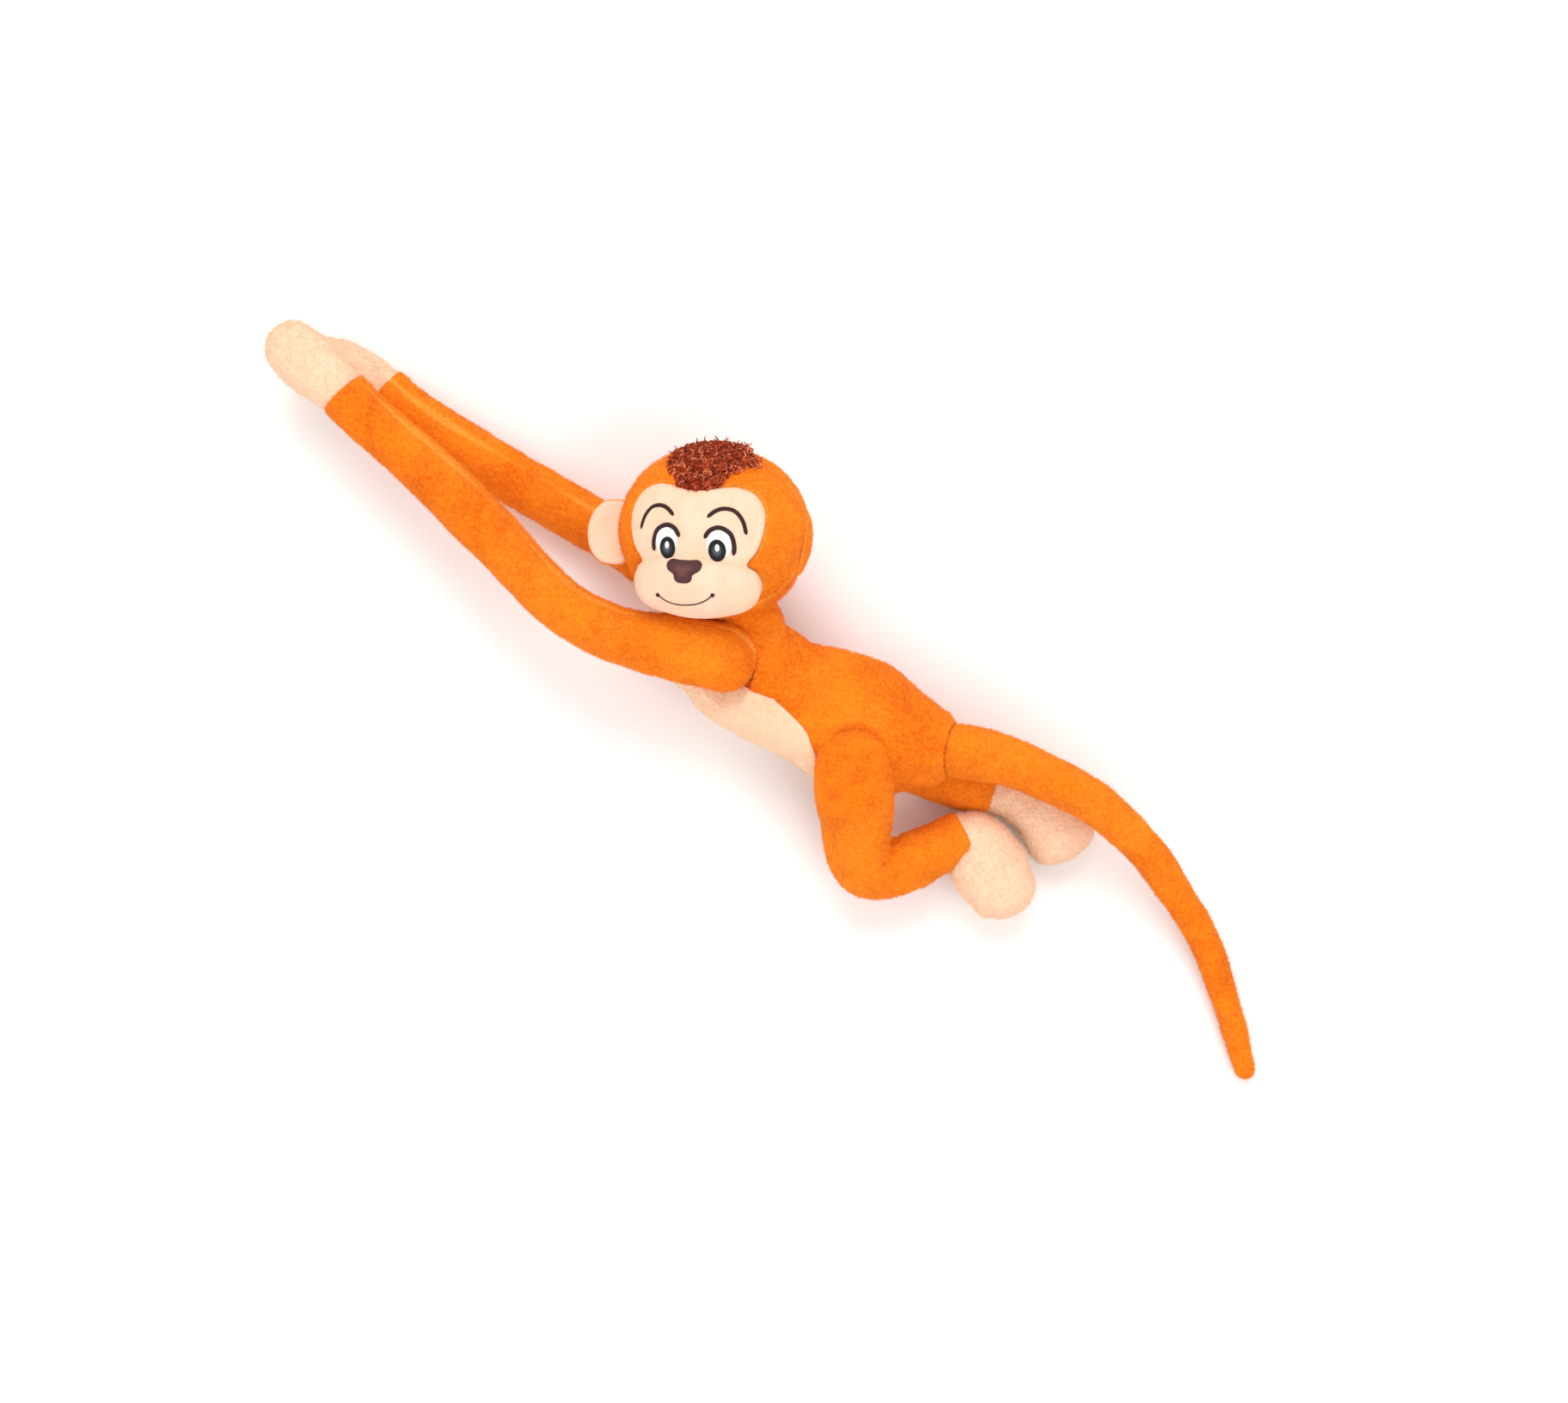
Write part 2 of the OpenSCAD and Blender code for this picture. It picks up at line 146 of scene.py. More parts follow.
@dataclass
class Shell:
    """A closed surface: points, normals, faces of three or four corners, and values that its finish reads."""

    points: Array
    normals: Array
    quads: Array
    tris: Array
    values: dict[str, Array] = field(default_factory=dict)

    def displaced(self, relief: Relief) -> "Shell":
        """The shell with each point moved along its normal by relief(points, normals)."""
        self.points = self.points + self.normals * relief(self.points, self.normals)[:, None]
        return self

    def with_fibres(self, pile: "Pile", where: Array | None = None, seed: int = 1) -> "Shell":
        """The shell with spikes of pile added as closed islands.

        A root is drawn on quads at random by area. A spike has three corners round the root, sunk under
        the surface, and its tip at root + length x (normal + lean x direction + scatter).

        Args:
            pile: size and lie of the fibres.
            where: share of the full density for each point, 1 where it is left out.
            seed: picks another set.

        Returns:
            The same shell.
        """
        rng = np.random.default_rng(seed)
        corners = self.points[self.quads]
        diagonals = corners[:, 2] - corners[:, 0], corners[:, 3] - corners[:, 1]
        area = 0.5 * np.linalg.norm(np.cross(*diagonals), axis=1)
        if where is not None:
            area = area * where[self.quads].mean(axis=1)
        count = int(area.sum() * pile.density)
        picked = rng.choice(len(area), count, p=area / area.sum())
        s, t = rng.random((2, count, 1))
        weights = np.stack([(1 - s) * (1 - t), s * (1 - t), s * t, (1 - s) * t], axis=1)
        quads = self.quads[picked]
        root = (self.points[quads] * weights).sum(axis=1)
        normal = unit((self.normals[quads] * weights).sum(axis=1))
        lean = np.array(pile.lean) - normal * (normal @ np.array(pile.lean))[:, None]
        scatter = rng.normal(0, pile.scatter, (count, 3))
        long = pile.length * rng.uniform(0.55, 1.25, (count, 1))
        clump = 1 + 0.35 * noise(root, 5, 31)[:, None]
        tip = root + long * clump * unit(normal + lean + scatter)
        side = unit(np.cross(normal, rng.normal(0, 1, (count, 3))))
        other = np.cross(normal, side)
        angles = np.radians([0, 120, 240])
        foot = root - 0.25 * normal
        ring = [foot + pile.width * (math.cos(a) * side + math.sin(a) * other) for a in angles]
        first = len(self.points) + 4 * np.arange(count)[:, None]
        self.tris = np.vstack([self.tris] + [first + f for f in ([0, 1, 3], [1, 2, 3], [2, 0, 3], [2, 1, 0])])
        self.points = np.vstack([self.points, np.stack(ring + [tip], axis=1).reshape(-1, 3)])
        self.normals = np.vstack([self.normals, np.repeat(normal, 4, axis=0)])
        for name, value in self.values.items():
            rooted = (value[quads] * weights[:, :, 0]).sum(axis=1)
            self.values[name] = np.concatenate([value, np.repeat(rooted, 4)])
        # tip is 1 at each spike's tip, which the plush finish paints lighter as a painted highlight.
        along = np.concatenate([np.zeros(len(self.points) - 4 * count), np.tile([0, 0, 0, 1.0], count)])
        self.values["tip"] = along
        return self

    def build(self, name: str, material: bpy.types.Material) -> bpy.types.Object:
        """Makes the mesh object in metres, with smooth faces and one layer per named value.

        Args:
            name: the object's name.
            material: its material.

        Returns:
            The object, linked to the scene.
        """
        mesh = bpy.data.meshes.new(name)
        mesh.vertices.add(len(self.points))
        mesh.vertices.foreach_set("co", (self.points * MM).astype(np.float32).ravel())
        loops = np.concatenate([self.quads.ravel(), self.tris.ravel()]).astype(np.int32)
        sizes = np.concatenate([np.full(len(self.quads), 4), np.full(len(self.tris), 3)])
        mesh.loops.add(len(loops))
        mesh.loops.foreach_set("vertex_index", loops)
        mesh.polygons.add(len(sizes))
        mesh.polygons.foreach_set("loop_start", np.concatenate([[0], np.cumsum(sizes)[:-1]]).astype(np.int32))
        mesh.update(calc_edges=True)
        mesh.shade_smooth()
        mesh.set_sharp_from_angle(angle=math.radians(62))
        for key, value in self.values.items():
            layer = mesh.attributes.new(key, "FLOAT", "POINT")
            layer.data.foreach_set("value", value.astype(np.float32))
        mesh.materials.append(material)
        obj = bpy.data.objects.new(name, mesh)
        bpy.context.scene.collection.objects.link(obj)
        return obj


@dataclass(frozen=True)
class Pile:
    """Fibres of a plush: how many per square millimetre, their size in millimetres, and how they lie."""

    density: float = 1.6
    length: float = 1.4
    width: float = 0.11
    lean: tuple[float, float, float] = (0.7, -0.2, 0.0)
    scatter: float = 0.45


def grid_normals(grid: Array, closed: bool = True) -> Array:
    """Unit normals of a grid of rings: the cross product of its two central differences.

    Args:
        grid: rings of points, (rings, around, 3).
        closed: whether a ring's last point is next to its first.

    Returns:
        Normals, shaped as the grid.
    """
    along = np.gradient(grid, axis=0)
    if closed:
        around = np.roll(grid, -1, axis=1) - np.roll(grid, 1, axis=1)
    else:
        around = np.gradient(grid, axis=1)
    return unit(np.cross(around, along))


def shell_of(grid: Array, values: dict[str, Array] | None = None) -> Shell:
    """A closed shell over rings of points, with a fan on each end.

    Args:
        grid: rings of points, (rings, around, 3), turning so that normals point out.
        values: for each name, one value per grid point.

    Returns:
        The shell.
    """
    rings, around, _ = grid.shape
    index = np.arange(rings * around).reshape(rings, around)
    walls = np.stack([index[:-1], np.roll(index, -1, 1)[:-1], np.roll(index, -1, 1)[1:], index[1:]], -1)
    if signed_volume(grid.reshape(-1, 3), walls.reshape(-1, 4)) < 0:
        grid = grid[:, ::-1]
        values = {name: value[:, ::-1] for name, value in (values or {}).items()}
    normals = grid_normals(grid)
    i, j = np.meshgrid(np.arange(rings - 1), np.arange(around), indexing="ij")
    k = (j + 1) % around
    quads = np.stack([i * around + j, i * around + k, (i + 1) * around + k, (i + 1) * around + j], axis=-1)
    first, last = rings * around, rings * around + 1
    j = np.arange(around)
    k = (j + 1) % around
    start = np.stack([k, j, np.full(around, first)], axis=1)
    end = np.stack([(rings - 1) * around + j, (rings - 1) * around + k, np.full(around, last)], axis=1)
    poles = np.stack([grid[0].mean(axis=0), grid[-1].mean(axis=0)])
    ways = unit(np.stack([poles[0] - grid[1].mean(axis=0), poles[1] - grid[-2].mean(axis=0)]))
    spread = {}
    for name, value in (values or {}).items():
        spread[name] = np.concatenate([value.ravel(), [value[0].mean(), value[-1].mean()]])
    return Shell(
        np.vstack([grid.reshape(-1, 3), poles]),
        np.vstack([normals.reshape(-1, 3), ways]),
        quads.reshape(-1, 4),
        np.vstack([start, end]),
        spread,
    )


@dataclass
class Sweep:
    """A stuffed tube along stations (x, y, z, radius across, radius up) in millimetres, begun by a dome."""

    stations: Stations
    end: End = End.DOME
    start_cap: float = 12.0
    end_cap: float = 12.0
    ring: float = 1.0
    around: int = 96

    def closing(self, kind: End, cap: float, radius: float) -> tuple[Array, Array]:
        """Offsets beyond the last station and radius factors that close an end, from its rim inwards.

        A dome shrinks as sin b while it runs out as cap x cos b. A socket rolls over its edge and then
        follows a hollow dome round the station's centre.

        Args:
            kind: how the end closes.
            cap: length of the dome in millimetres.
            radius: mean radius at the end.

        Returns:
            Offsets in millimetres and factors.
        """
        if kind is End.DOME:
            steps = max(8, round(1.3 * max(cap, radius) / self.ring))
            b = np.radians(np.linspace(90, 3, steps)[1:])
            return cap * np.cos(b), np.sin(b)
        roll = 1.6 / radius
        inner = 1 - roll
        b = np.radians(np.linspace(90, 0, 7)[1:])
        c = np.radians(np.linspace(86, 4, 14))
        offsets = np.concatenate([1.3 * np.cos(b), -radius * inner * np.cos(c)])
        factors = np.concatenate([inner + roll * np.sin(b), inner * np.sin(c)])
        return offsets, factors

    def grid(self) -> tuple[Array, Array, Array]:
        """Rings of the tube before any relief.

        Returns:
            Points (rings, around, 3), the run along the tube per ring, and the angle per column in degrees,
            0 sideways and 90 up.
        """
        s = curve(np.array(self.stations, float), self.ring)
        way = unit(np.gradient(s[:, :3], axis=0))
        run = np.concatenate([[0], np.cumsum(np.linalg.norm(np.diff(s[:, :3], axis=0), axis=1))])
        ahead, shrink_a = self.closing(self.end, self.end_cap, s[-1, 3:].mean())
        back, shrink_b = self.closing(End.DOME, self.start_cap, s[0, 3:].mean())
        before, after = s[0, :3] - back[::-1, None] * way[0], s[-1, :3] + ahead[:, None] * way[-1]
        centre = np.vstack([before, s[:, :3], after])
        ways = np.vstack([np.repeat(way[:1], len(back), 0), way, np.repeat(way[-1:], len(ahead), 0)])
        radii = np.vstack([s[0, 3:] * shrink_b[::-1, None], s[:, 3:], s[-1, 3:] * shrink_a[:, None]])
        runs = np.concatenate([-back[::-1], run, run[-1] + ahead])
        angle = np.linspace(0, 360, self.around, endpoint=False)
        across = unit(np.cross(UP, ways))
        upward = np.cross(ways, across)
        cos, sin = np.cos(np.radians(angle)), np.sin(np.radians(angle))
        points = (
            centre[:, None]
            + radii[:, None, :1] * cos[None, :, None] * across[:, None]
            + radii[:, None, 1:] * sin[None, :, None] * upward[:, None]
        )
        return points, runs, angle

    def shell(self, seam: float | None = None) -> Shell:
        """The closed tube, with a sewn seam along one angle.

        Args:
            seam: angle of the seam in degrees, or None.

        Returns:
            The shell with the value "seam", 1 on the stitches and falling off over two millimetres.
        """
        points, runs, angle = self.grid()
        rings, around, _ = points.shape
        near = np.zeros((rings, around))
        # The seam value sinks the stitches and is also painted lighter by the plush finish: a painted
        # highlight along the seam.
        if seam is not None:
            apart = np.abs((angle - seam + 180) % 360 - 180)
            radius = np.linalg.norm(points - points.mean(axis=1, keepdims=True), axis=2)
            wobble = 1.2 * np.sin(runs / 17)[:, None]
            gap = np.abs(np.radians(apart)[None] * radius + wobble * np.sign(apart - 0.01)[None])
            near = np.exp(-((gap / 1.1) ** 2))
        return shell_of(points, {"seam": near, "tip": np.zeros((rings, around))})


def stuffing(amount: float = 0.5, pile: float = 0.22) -> Relief:
    """Relief of a stuffed plush skin.

    The height is amount x noise over 15 mm lumps, plus pile x noise over tufts of 2.6 and 1.4 mm.

    Args:
        amount: height of the lumps in millimetres.
        pile: height of the tufts in millimetres.

    Returns:
        A function from points and normals to heights.
    """

    def height(p: Array, n: Array) -> Array:
        """Height over each point."""
        lumps = amount * (noise(p, 15, 3) + 0.4 * noise(p, 7, 4))
        return lumps + pile * (noise(p, 2.6, 5) + 0.7 * noise(p, 1.4, 6))

    return height


def patch(
    outline: Sequence[tuple[float, float]],
    place: Callable[[Array, Array], Array],
    thick: float,
    crown: float = 0.0,
    under: float = 0.25,
    rings: int = 26,
    around: int = 160,
    relief: Callable[[Array], Array] | None = None,
) -> Shell:
    """A closed piece laid on a surface inside a smooth outline.

    At the share r of the way to the outline the top stands at thick x sqrt(1 - ((r - 0.86) / 0.14)^2) past
    r = 0.86 and at thick before it, plus crown x (1 - r^2). The underside lies at -under.

    Args:
        outline: corner points of the outline on the surface's own two coordinates.
        place: point in the shared frame for coordinates and a height over the surface.
        thick: thickness at the edge in millimetres.
        crown: further height in the middle.
        under: depth of the underside.
        rings: rings of points from the middle to the edge.
        around: points round the outline.
        relief: further height for coordinates, or None.

    Returns:
        The shell, with the value "edge" from 0 in the middle to 1 at the outline.
    """
    corners = np.array(outline, float)
    wrapped = np.vstack([corners[-2:], corners, corners[:3]])
    fine = curve(wrapped, 0.2)
    run = np.concatenate([[0], np.cumsum(np.linalg.norm(np.diff(fine, axis=0), axis=1))])
    half = len(fine) // 2
    first = np.linalg.norm(fine[:half] - corners[0], axis=1).argmin()
    last = half + np.linalg.norm(fine[half:] - corners[0], axis=1).argmin()
    at = np.linspace(run[first], run[last], around, endpoint=False)
    edge = np.stack([np.interp(at, run, fine[:, k]) for k in (0, 1)], axis=1)
    middle = edge.mean(axis=0)
    rounding = np.sin(np.radians([20, 40, 58, 72, 84, 90]))
    r = np.concatenate([np.linspace(0.02, 0.86, rings), 0.86 + 0.14 * rounding])
    top = thick * np.sqrt(np.clip(1 - (np.clip(r - 0.86, 0, None) / 0.14) ** 2, 0, 1)) + crown * (1 - r**2)
    r = np.concatenate([r, [0.97, 0.8, 0.5, 0.2, 0.02]])
    lift = np.concatenate([top, np.full(5, -under)])
    xy = middle + r[:, None, None] * (edge - middle)[None]
    heights = np.repeat(lift[:, None], around, axis=1)
    if relief is not None:
        extra = relief(xy.reshape(-1, 2)).reshape(heights.shape)
        heights[: rings + 5] += extra[: rings + 5]
    grid = place(xy.reshape(-1, 2), heights.ravel()).reshape(len(r), around, 3)
    return shell_of(grid, {"edge": np.repeat(r[:, None], around, axis=1)})


def ribbon(line: Array, normals: Array, half_width: float, height: float, taper: float = 1.5) -> Shell:
    """A raised line of satin stitch along points on a surface.

    The section is an ellipse, half_width across and height up. It narrows as the square root of the run
    within taper of each end, and every stitch swells it by a twelfth.

    Args:
        line: points on the surface.
        normals: the surface's normals there.
        half_width: half of the width in millimetres.
        height: height over the surface.
        taper: length of the narrowing ends.

    Returns:
        The shell.
    """
    run = np.concatenate([[0], np.cumsum(np.linalg.norm(np.diff(line, axis=0), axis=1))])
    end = np.minimum(run, run[-1] - run)
    size = np.sqrt(np.clip((end + 0.05) / taper, 0.05, 1)) * (1 + 0.08 * np.sin(run * 2 * math.pi / 0.55))
    way = unit(np.gradient(line, axis=0))
    side = unit(np.cross(normals, way))
    angle = np.linspace(0, 2 * math.pi, 16, endpoint=False)
    grid = (
        line[:, None]
        + (half_width * size)[:, None, None] * np.cos(angle)[None, :, None] * side[:, None]
        + (height * size)[:, None, None] * np.sin(angle)[None, :, None] * normals[:, None]
    )
    return shell_of(grid)


def press_ball(shell: Shell, centre: Sequence[float], radius: float) -> Shell:
    """Hollows a shell where it would enter a ball.

    A point inside goes back along its normal to the ball's far side, which is the distance
    d.n + sqrt((d.n)^2 + r^2 - d.d) for its offset d from the centre and its normal n.

    Args:
        shell: the shell to hollow.
        centre: the ball's centre.
        radius: its radius in millimetres.

    Returns:
        The same shell.
    """
    d = shell.points - np.array(centre)
    along = (d * shell.normals).sum(axis=1)
    inside = radius**2 - (d**2).sum(axis=1)
    back = np.where(inside > 0, along + np.sqrt(np.clip(along**2 + inside, 0, None)), 0)
    shell.points = shell.points - shell.normals * back[:, None]
    return shell


def fan_distance(p: Array, centre: Sequence[float], first: float, last: float) -> Array:
    """Distance in plan from the sector between two directions that starts at a centre.

    Args:
        p: points.
        centre: the sector's corner.
        first: its first direction in degrees.
        last: its last direction.

    Returns:
        The reach from the centre times the sine of the angle beyond the sector, at most a right angle.
    """
    d = p[:, :2] - np.array(centre[:2])
    reach = np.linalg.norm(d, axis=1)
    middle = (first + last) / 2
    turn = np.abs((np.degrees(np.arctan2(d[:, 1], d[:, 0])) - middle + 180) % 360 - 180)
    beyond = np.clip(turn - (last - first) / 2, 0, 90)
    return reach * np.sin(np.radians(beyond))


def press_limb(
    shell: Shell,
    centre: Sequence[float],
    radii: tuple[float, float],
    sector: tuple[float, float],
    side: int,
    deeper: float | Array = 0.0,
) -> Shell:
    """Makes room under a limb that swings over a sector.

    Within the limb's radius of the sector, at the distance d, a point goes no further towards the limb than
    the limb's own near side: its axis less side x flat radius x sqrt(1 - (d / radius)^2).

    Args:
        shell: the shell to press.
        centre: the limb's joint.
        radii: the limb's radius across and its flat radius, in millimetres.
        sector: first and last direction of the swing in degrees.
        side: 1 for a limb on top, -1 for one underneath.
        deeper: how much further back to press, for the whole shell or for each point.

    Returns:
        The shell.
    """
    d = fan_distance(shell.points, centre, *sector) / radii[0]
    level = centre[2] - side * (radii[1] * np.sqrt(np.clip(1 - d**2, 0, 1)) + deeper)
    z = shell.points[:, 2]
    pressed = np.minimum(z, level) if side > 0 else np.maximum(z, level)
    shell.points[:, 2] = np.where(d < 1, pressed, z)
    return shell


def signed_volume(points: Array, faces: Array) -> float:
    """Six times the volume enclosed by faces, less than zero if they face inwards.

    Args:
        points: corner points.
        faces: indices of three or four corners per row.

    Returns:
        The sum of a.(b x c) over the triangles.
    """
    p = points - points.mean(axis=0)
    corners = p[faces]
    total = np.einsum("ij,ij->i", corners[:, 0], np.cross(corners[:, 1], corners[:, 2])).sum()
    if faces.shape[1] == 4:
        total += np.einsum("ij,ij->i", corners[:, 0], np.cross(corners[:, 2], corners[:, 3])).sum()
    return float(total)


def joined(shells: Sequence["Shell"]) -> "Shell":
    """Several shells as one.

    Args:
        shells: the shells to join.

    Returns:
        One shell, with the values that they all have.
    """
    starts = np.cumsum([0] + [len(s.points) for s in shells])
    names = set.intersection(*(set(s.values) for s in shells))
    return Shell(
        np.vstack([s.points for s in shells]),
        np.vstack([s.normals for s in shells]),
        np.vstack([s.quads + k for s, k in zip(shells, starts)]),
        np.vstack([s.tris + k for s, k in zip(shells, starts)]),
        {name: np.concatenate([s.values[name] for s in shells]) for name in sorted(names)},
    )


def ball(centre: Array, radius: float, rings: int = 10) -> "Shell":
    """A ball as rings of points at centre + radius x (sin b cos a, sin b sin a, cos b).

    Args:
        centre: its centre.
        radius: its radius in millimetres.
        rings: rings from pole to pole, with twice as many points in each.

    Returns:
        The shell.
    """
    b = np.radians(np.linspace(6, 174, rings))[:, None]
    a = np.radians(np.linspace(0, 360, 2 * rings, endpoint=False))[None]
    ones = np.ones_like(a)
    directions = np.stack([np.sin(b) * np.cos(a), np.sin(b) * np.sin(a), np.cos(b) * ones], -1)
    return shell_of(centre + radius * directions)


# ---- Finishes


def rgb(code: str) -> tuple[float, float, float, float]:
    """Linear colour of an sRGB code.

    Args:
        code: six hexadecimal digits.

    Returns:
        Red, green, blue and an alpha of 1.
    """
    parts = [int(code[k : k + 2], 16) / 255 for k in (0, 2, 4)]
    linear = [c / 12.92 if c <= 0.04045 else ((c + 0.055) / 1.055) ** 2.4 for c in parts]
    return (*linear, 1.0)


class Socket:
    """An output of a shader graph, with arithmetic that adds Math nodes."""

    def __init__(self, graph: "Graph", output: bpy.types.NodeSocket) -> None:
        """Wraps an output of a graph."""
        self.graph, self.output = graph, output

    def math(self, operation: str, *others: "Socket | float", swap: bool = False) -> "Socket":
        """This value with others through one Math node.

        Args:
            operation: the node's operation.
            others: the further values.
            swap: whether to swap the first two values.

        Returns:
            The node's output.
        """
        values = [self, *others]
        if swap:
            values[0], values[1] = values[1], values[0]
        return self.graph.add("ShaderNodeMath", {"operation": operation}, dict(enumerate(values)))

    def __add__(self, other: "Socket | float") -> "Socket":
        """Sum."""
        return self.math("ADD", other)

    __radd__ = __add__

    def __sub__(self, other: "Socket | float") -> "Socket":
        """Difference."""
        return self.math("SUBTRACT", other)

    def __rsub__(self, other: "Socket | float") -> "Socket":
        """Reflected difference."""
        return self.math("SUBTRACT", other, swap=True)

    def __mul__(self, other: "Socket | float") -> "Socket":
        """Product."""
        return self.math("MULTIPLY", other)

    __rmul__ = __mul__

    def __truediv__(self, other: "Socket | float") -> "Socket":
        """Quotient."""
        return self.math("DIVIDE", other)

    def __rtruediv__(self, other: "Socket | float") -> "Socket":
        """Reflected quotient."""
        return self.math("DIVIDE", other, swap=True)

    def smooth(self, low: float, high: float) -> "Socket":
        """Smooth step.

        Args:
            low: value at which it leaves 0.
            high: value at which it reaches 1.

        Returns:
            The step, from 0 to 1.
        """
        settings = {"interpolation_type": "SMOOTHSTEP"}
        inputs = {"Value": self, "From Min": low, "From Max": high}
        return self.graph.add("ShaderNodeMapRange", settings, inputs)


class Graph:
    """A material and the few node types that the finishes use."""

    def __init__(self, name: str) -> None:
        """Makes the material with its Principled shader.

        Args:
            name: the material's name.
        """
        self.material = bpy.data.materials.new(name)
        self.material.use_nodes = True
        self.tree = self.material.node_tree
        self.shader = self.tree.nodes["Principled BSDF"]

    def add(
        self,
        kind: str,
        settings: dict[str, object] | None = None,
        inputs: dict[str | int, object] | None = None,
        out: str | int = 0,
    ) -> Socket:
        """Adds a node.

        Args:
            kind: the node's type.
            settings: properties to set before the inputs.
            inputs: values or sockets by input name or number.
            out: name or number of the output to return.

        Returns:
            The output.
        """
        node = self.tree.nodes.new(kind)
        for key, value in (settings or {}).items():
            setattr(node, key, value)
        for key, value in (inputs or {}).items():
            self.feed(node, key, value)
        return Socket(self, node.outputs[out])

    def feed(self, node: bpy.types.Node, key: str | int, value: object) -> None:
        """Links a socket to an input, or sets the input's value.

        Args:
            node: the node.
            key: name or number of its input.
            value: a Socket, or a constant.
        """
        if isinstance(value, Socket):
            self.tree.links.new(value.output, node.inputs[key])
        else:
            node.inputs[key].default_value = value

    def place(self) -> Socket:
        """Object coordinates."""
        return self.add("ShaderNodeTexCoord", out="Object")

    def noise(self, size: float, detail: float = 2.0, distortion: float = 0.0) -> Socket:
        """Noise from 0 to 1.

        Args:
            size: size of its features in millimetres.
            detail: how many finer layers it has.
            distortion: how much it swirls.

        Returns:
            The noise.
        """
        scale = 1 / (size * MM)
        inputs = {"Vector": self.place(), "Scale": scale, "Detail": detail, "Distortion": distortion}
        return self.add("ShaderNodeTexNoise", {}, inputs, "Fac")

    def value(self, name: str) -> Socket:
        """A named value of the mesh's points."""
        return self.add("ShaderNodeAttribute", {"attribute_name": name}, out="Fac")

    def mix(self, factor: Socket | float, a: object, b: object) -> Socket:
        """Colour a to colour b by a factor."""
        return self.add("ShaderNodeMix", {"data_type": "RGBA"}, {0: factor, 6: a, 7: b}, 2)

    def bump(self, height: Socket, distance: float) -> Socket:
        """Normal of a bump of a distance in millimetres."""
        return self.add("ShaderNodeBump", {}, {"Height": height, "Distance": distance * MM, "Strength": 1.0})

    def finish(self, **inputs: object) -> bpy.types.Material:
        """Sets the shader's inputs.

        Args:
            inputs: values or sockets by input name, with underscores for spaces.

        Returns:
            The material.
        """
        for key, value in inputs.items():
            self.feed(self.shader, key.replace("_", " "), value)
        return self.material


@dataclass(frozen=True)
class Plush:
    """Brushed pile: colours as sRGB codes, sizes in millimetres."""

    name: str
    deep: str
    base: str
    light: str
    # Lighter colour painted as highlights on seams and fibre tips, and also the sheen's tint.
    tip: str
    sheen: float = 0.35
    patch: float = 16.0
    tuft: float = 1.7
    contrast: float = 0.6
    relief: float = 0.35

    def material(self) -> bpy.types.Material:
        """Base colour from brushed patches and tufts, painted highlights on seams and fibre tips, and a pile
        bump.

        Returns:
            The material.
        """
        g = Graph(self.name)
        brushed = g.noise(self.patch, 3, 0.8).smooth(0.38, 0.66)
        broad = g.noise(3.2 * self.patch, 1).smooth(0.35, 0.65)
        tufts = g.noise(self.tuft, 2).smooth(0.3, 0.7)
        colour = g.mix(brushed * self.contrast, rgb(self.base), rgb(self.deep))
        colour = g.mix(tufts * 0.3 + broad * 0.25, colour, rgb(self.light))
        # Painted highlights: seams, rims and fibre tips lightened towards the tip colour.
        colour = g.mix(g.value("seam") * 0.55, colour, rgb(self.tip))
        colour = g.mix(g.value("tip") * 0.45, colour, rgb(self.tip))
        fine = g.noise(0.55, 2)
        normal = g.bump(tufts * 0.7 + fine * 0.5, self.relief)
        return g.finish(
            Base_Color=colour,
            Roughness=0.92,
            Normal=normal,
            Sheen_Weight=self.sheen,
            Sheen_Roughness=0.45,
            Sheen_Tint=rgb(self.tip),
            Specular_IOR_Level=0.15,
        )


@dataclass(frozen=True)
class Velvet:
    """Short even nap, with a faint woven grain."""

    name: str
    base: str
    shade: str
    light: str
    sheen: float = 0.3

    def material(self) -> bpy.types.Material:
        """Base colour from soft blotches and a fine woven grain, with painted shade on the sewn edge where it
        turns under.

        Returns:
            The material.
        """
        g = Graph(self.name)
        blotch = g.noise(11, 2).smooth(0.35, 0.7)
        grain = g.noise(0.9, 1)
        colour = g.mix(blotch * 0.5, rgb(self.base), rgb(self.light))
        colour = g.mix(grain.smooth(0.45, 0.75) * 0.25, colour, rgb(self.shade))
        # Painted shade: the rounded outer edge is darkened towards the shade colour.
        colour = g.mix(g.value("edge").smooth(0.9, 1.0) * 0.5, colour, rgb(self.shade))
        return g.finish(
            Base_Color=colour,
            Roughness=0.85,
            Normal=g.bump(grain + g.noise(2.5, 2), 0.16),
            Sheen_Weight=self.sheen,
            Sheen_Roughness=0.4,
            Sheen_Tint=rgb(self.light),
            Specular_IOR_Level=0.2,
        )


@dataclass(frozen=True)
class Thread:
    """Satin stitch: fine parallel rows with a silky gloss."""

    name: str
    base: str
    accent: str
    pitch: float = 0.5
    gloss: float = 0.45
    streaks: float = 1.0

    def material(self) -> bpy.types.Material:
        """Base colour varied along rows of stitches, with the accent where the value "shade" asks for it.

        Returns:
            The material.
        """
        g = Graph(self.name)
        rows = g.add(
            "ShaderNodeTexWave",
            {"wave_type": "BANDS", "bands_direction": "X"},
            {"Vector": g.place(), "Scale": 0.31 / (self.pitch * MM), "Distortion": 1.5, "Detail": 1.0},
            "Fac",
        )
        rough = g.noise(1.2, 2)
        colour = g.mix((rows * 0.3 + rough * 0.2) * self.streaks, rgb(self.base), rgb(self.accent))
        # The value shade lays on the accent; in the pupils it is a painted grey reflection.
        colour = g.mix(g.value("shade"), colour, rgb(self.accent))
        return g.finish(
            Base_Color=colour,
            Roughness=rough * 0.25 + self.gloss,
            Normal=g.bump(rows, 0.09),
            Specular_IOR_Level=0.35,
        )


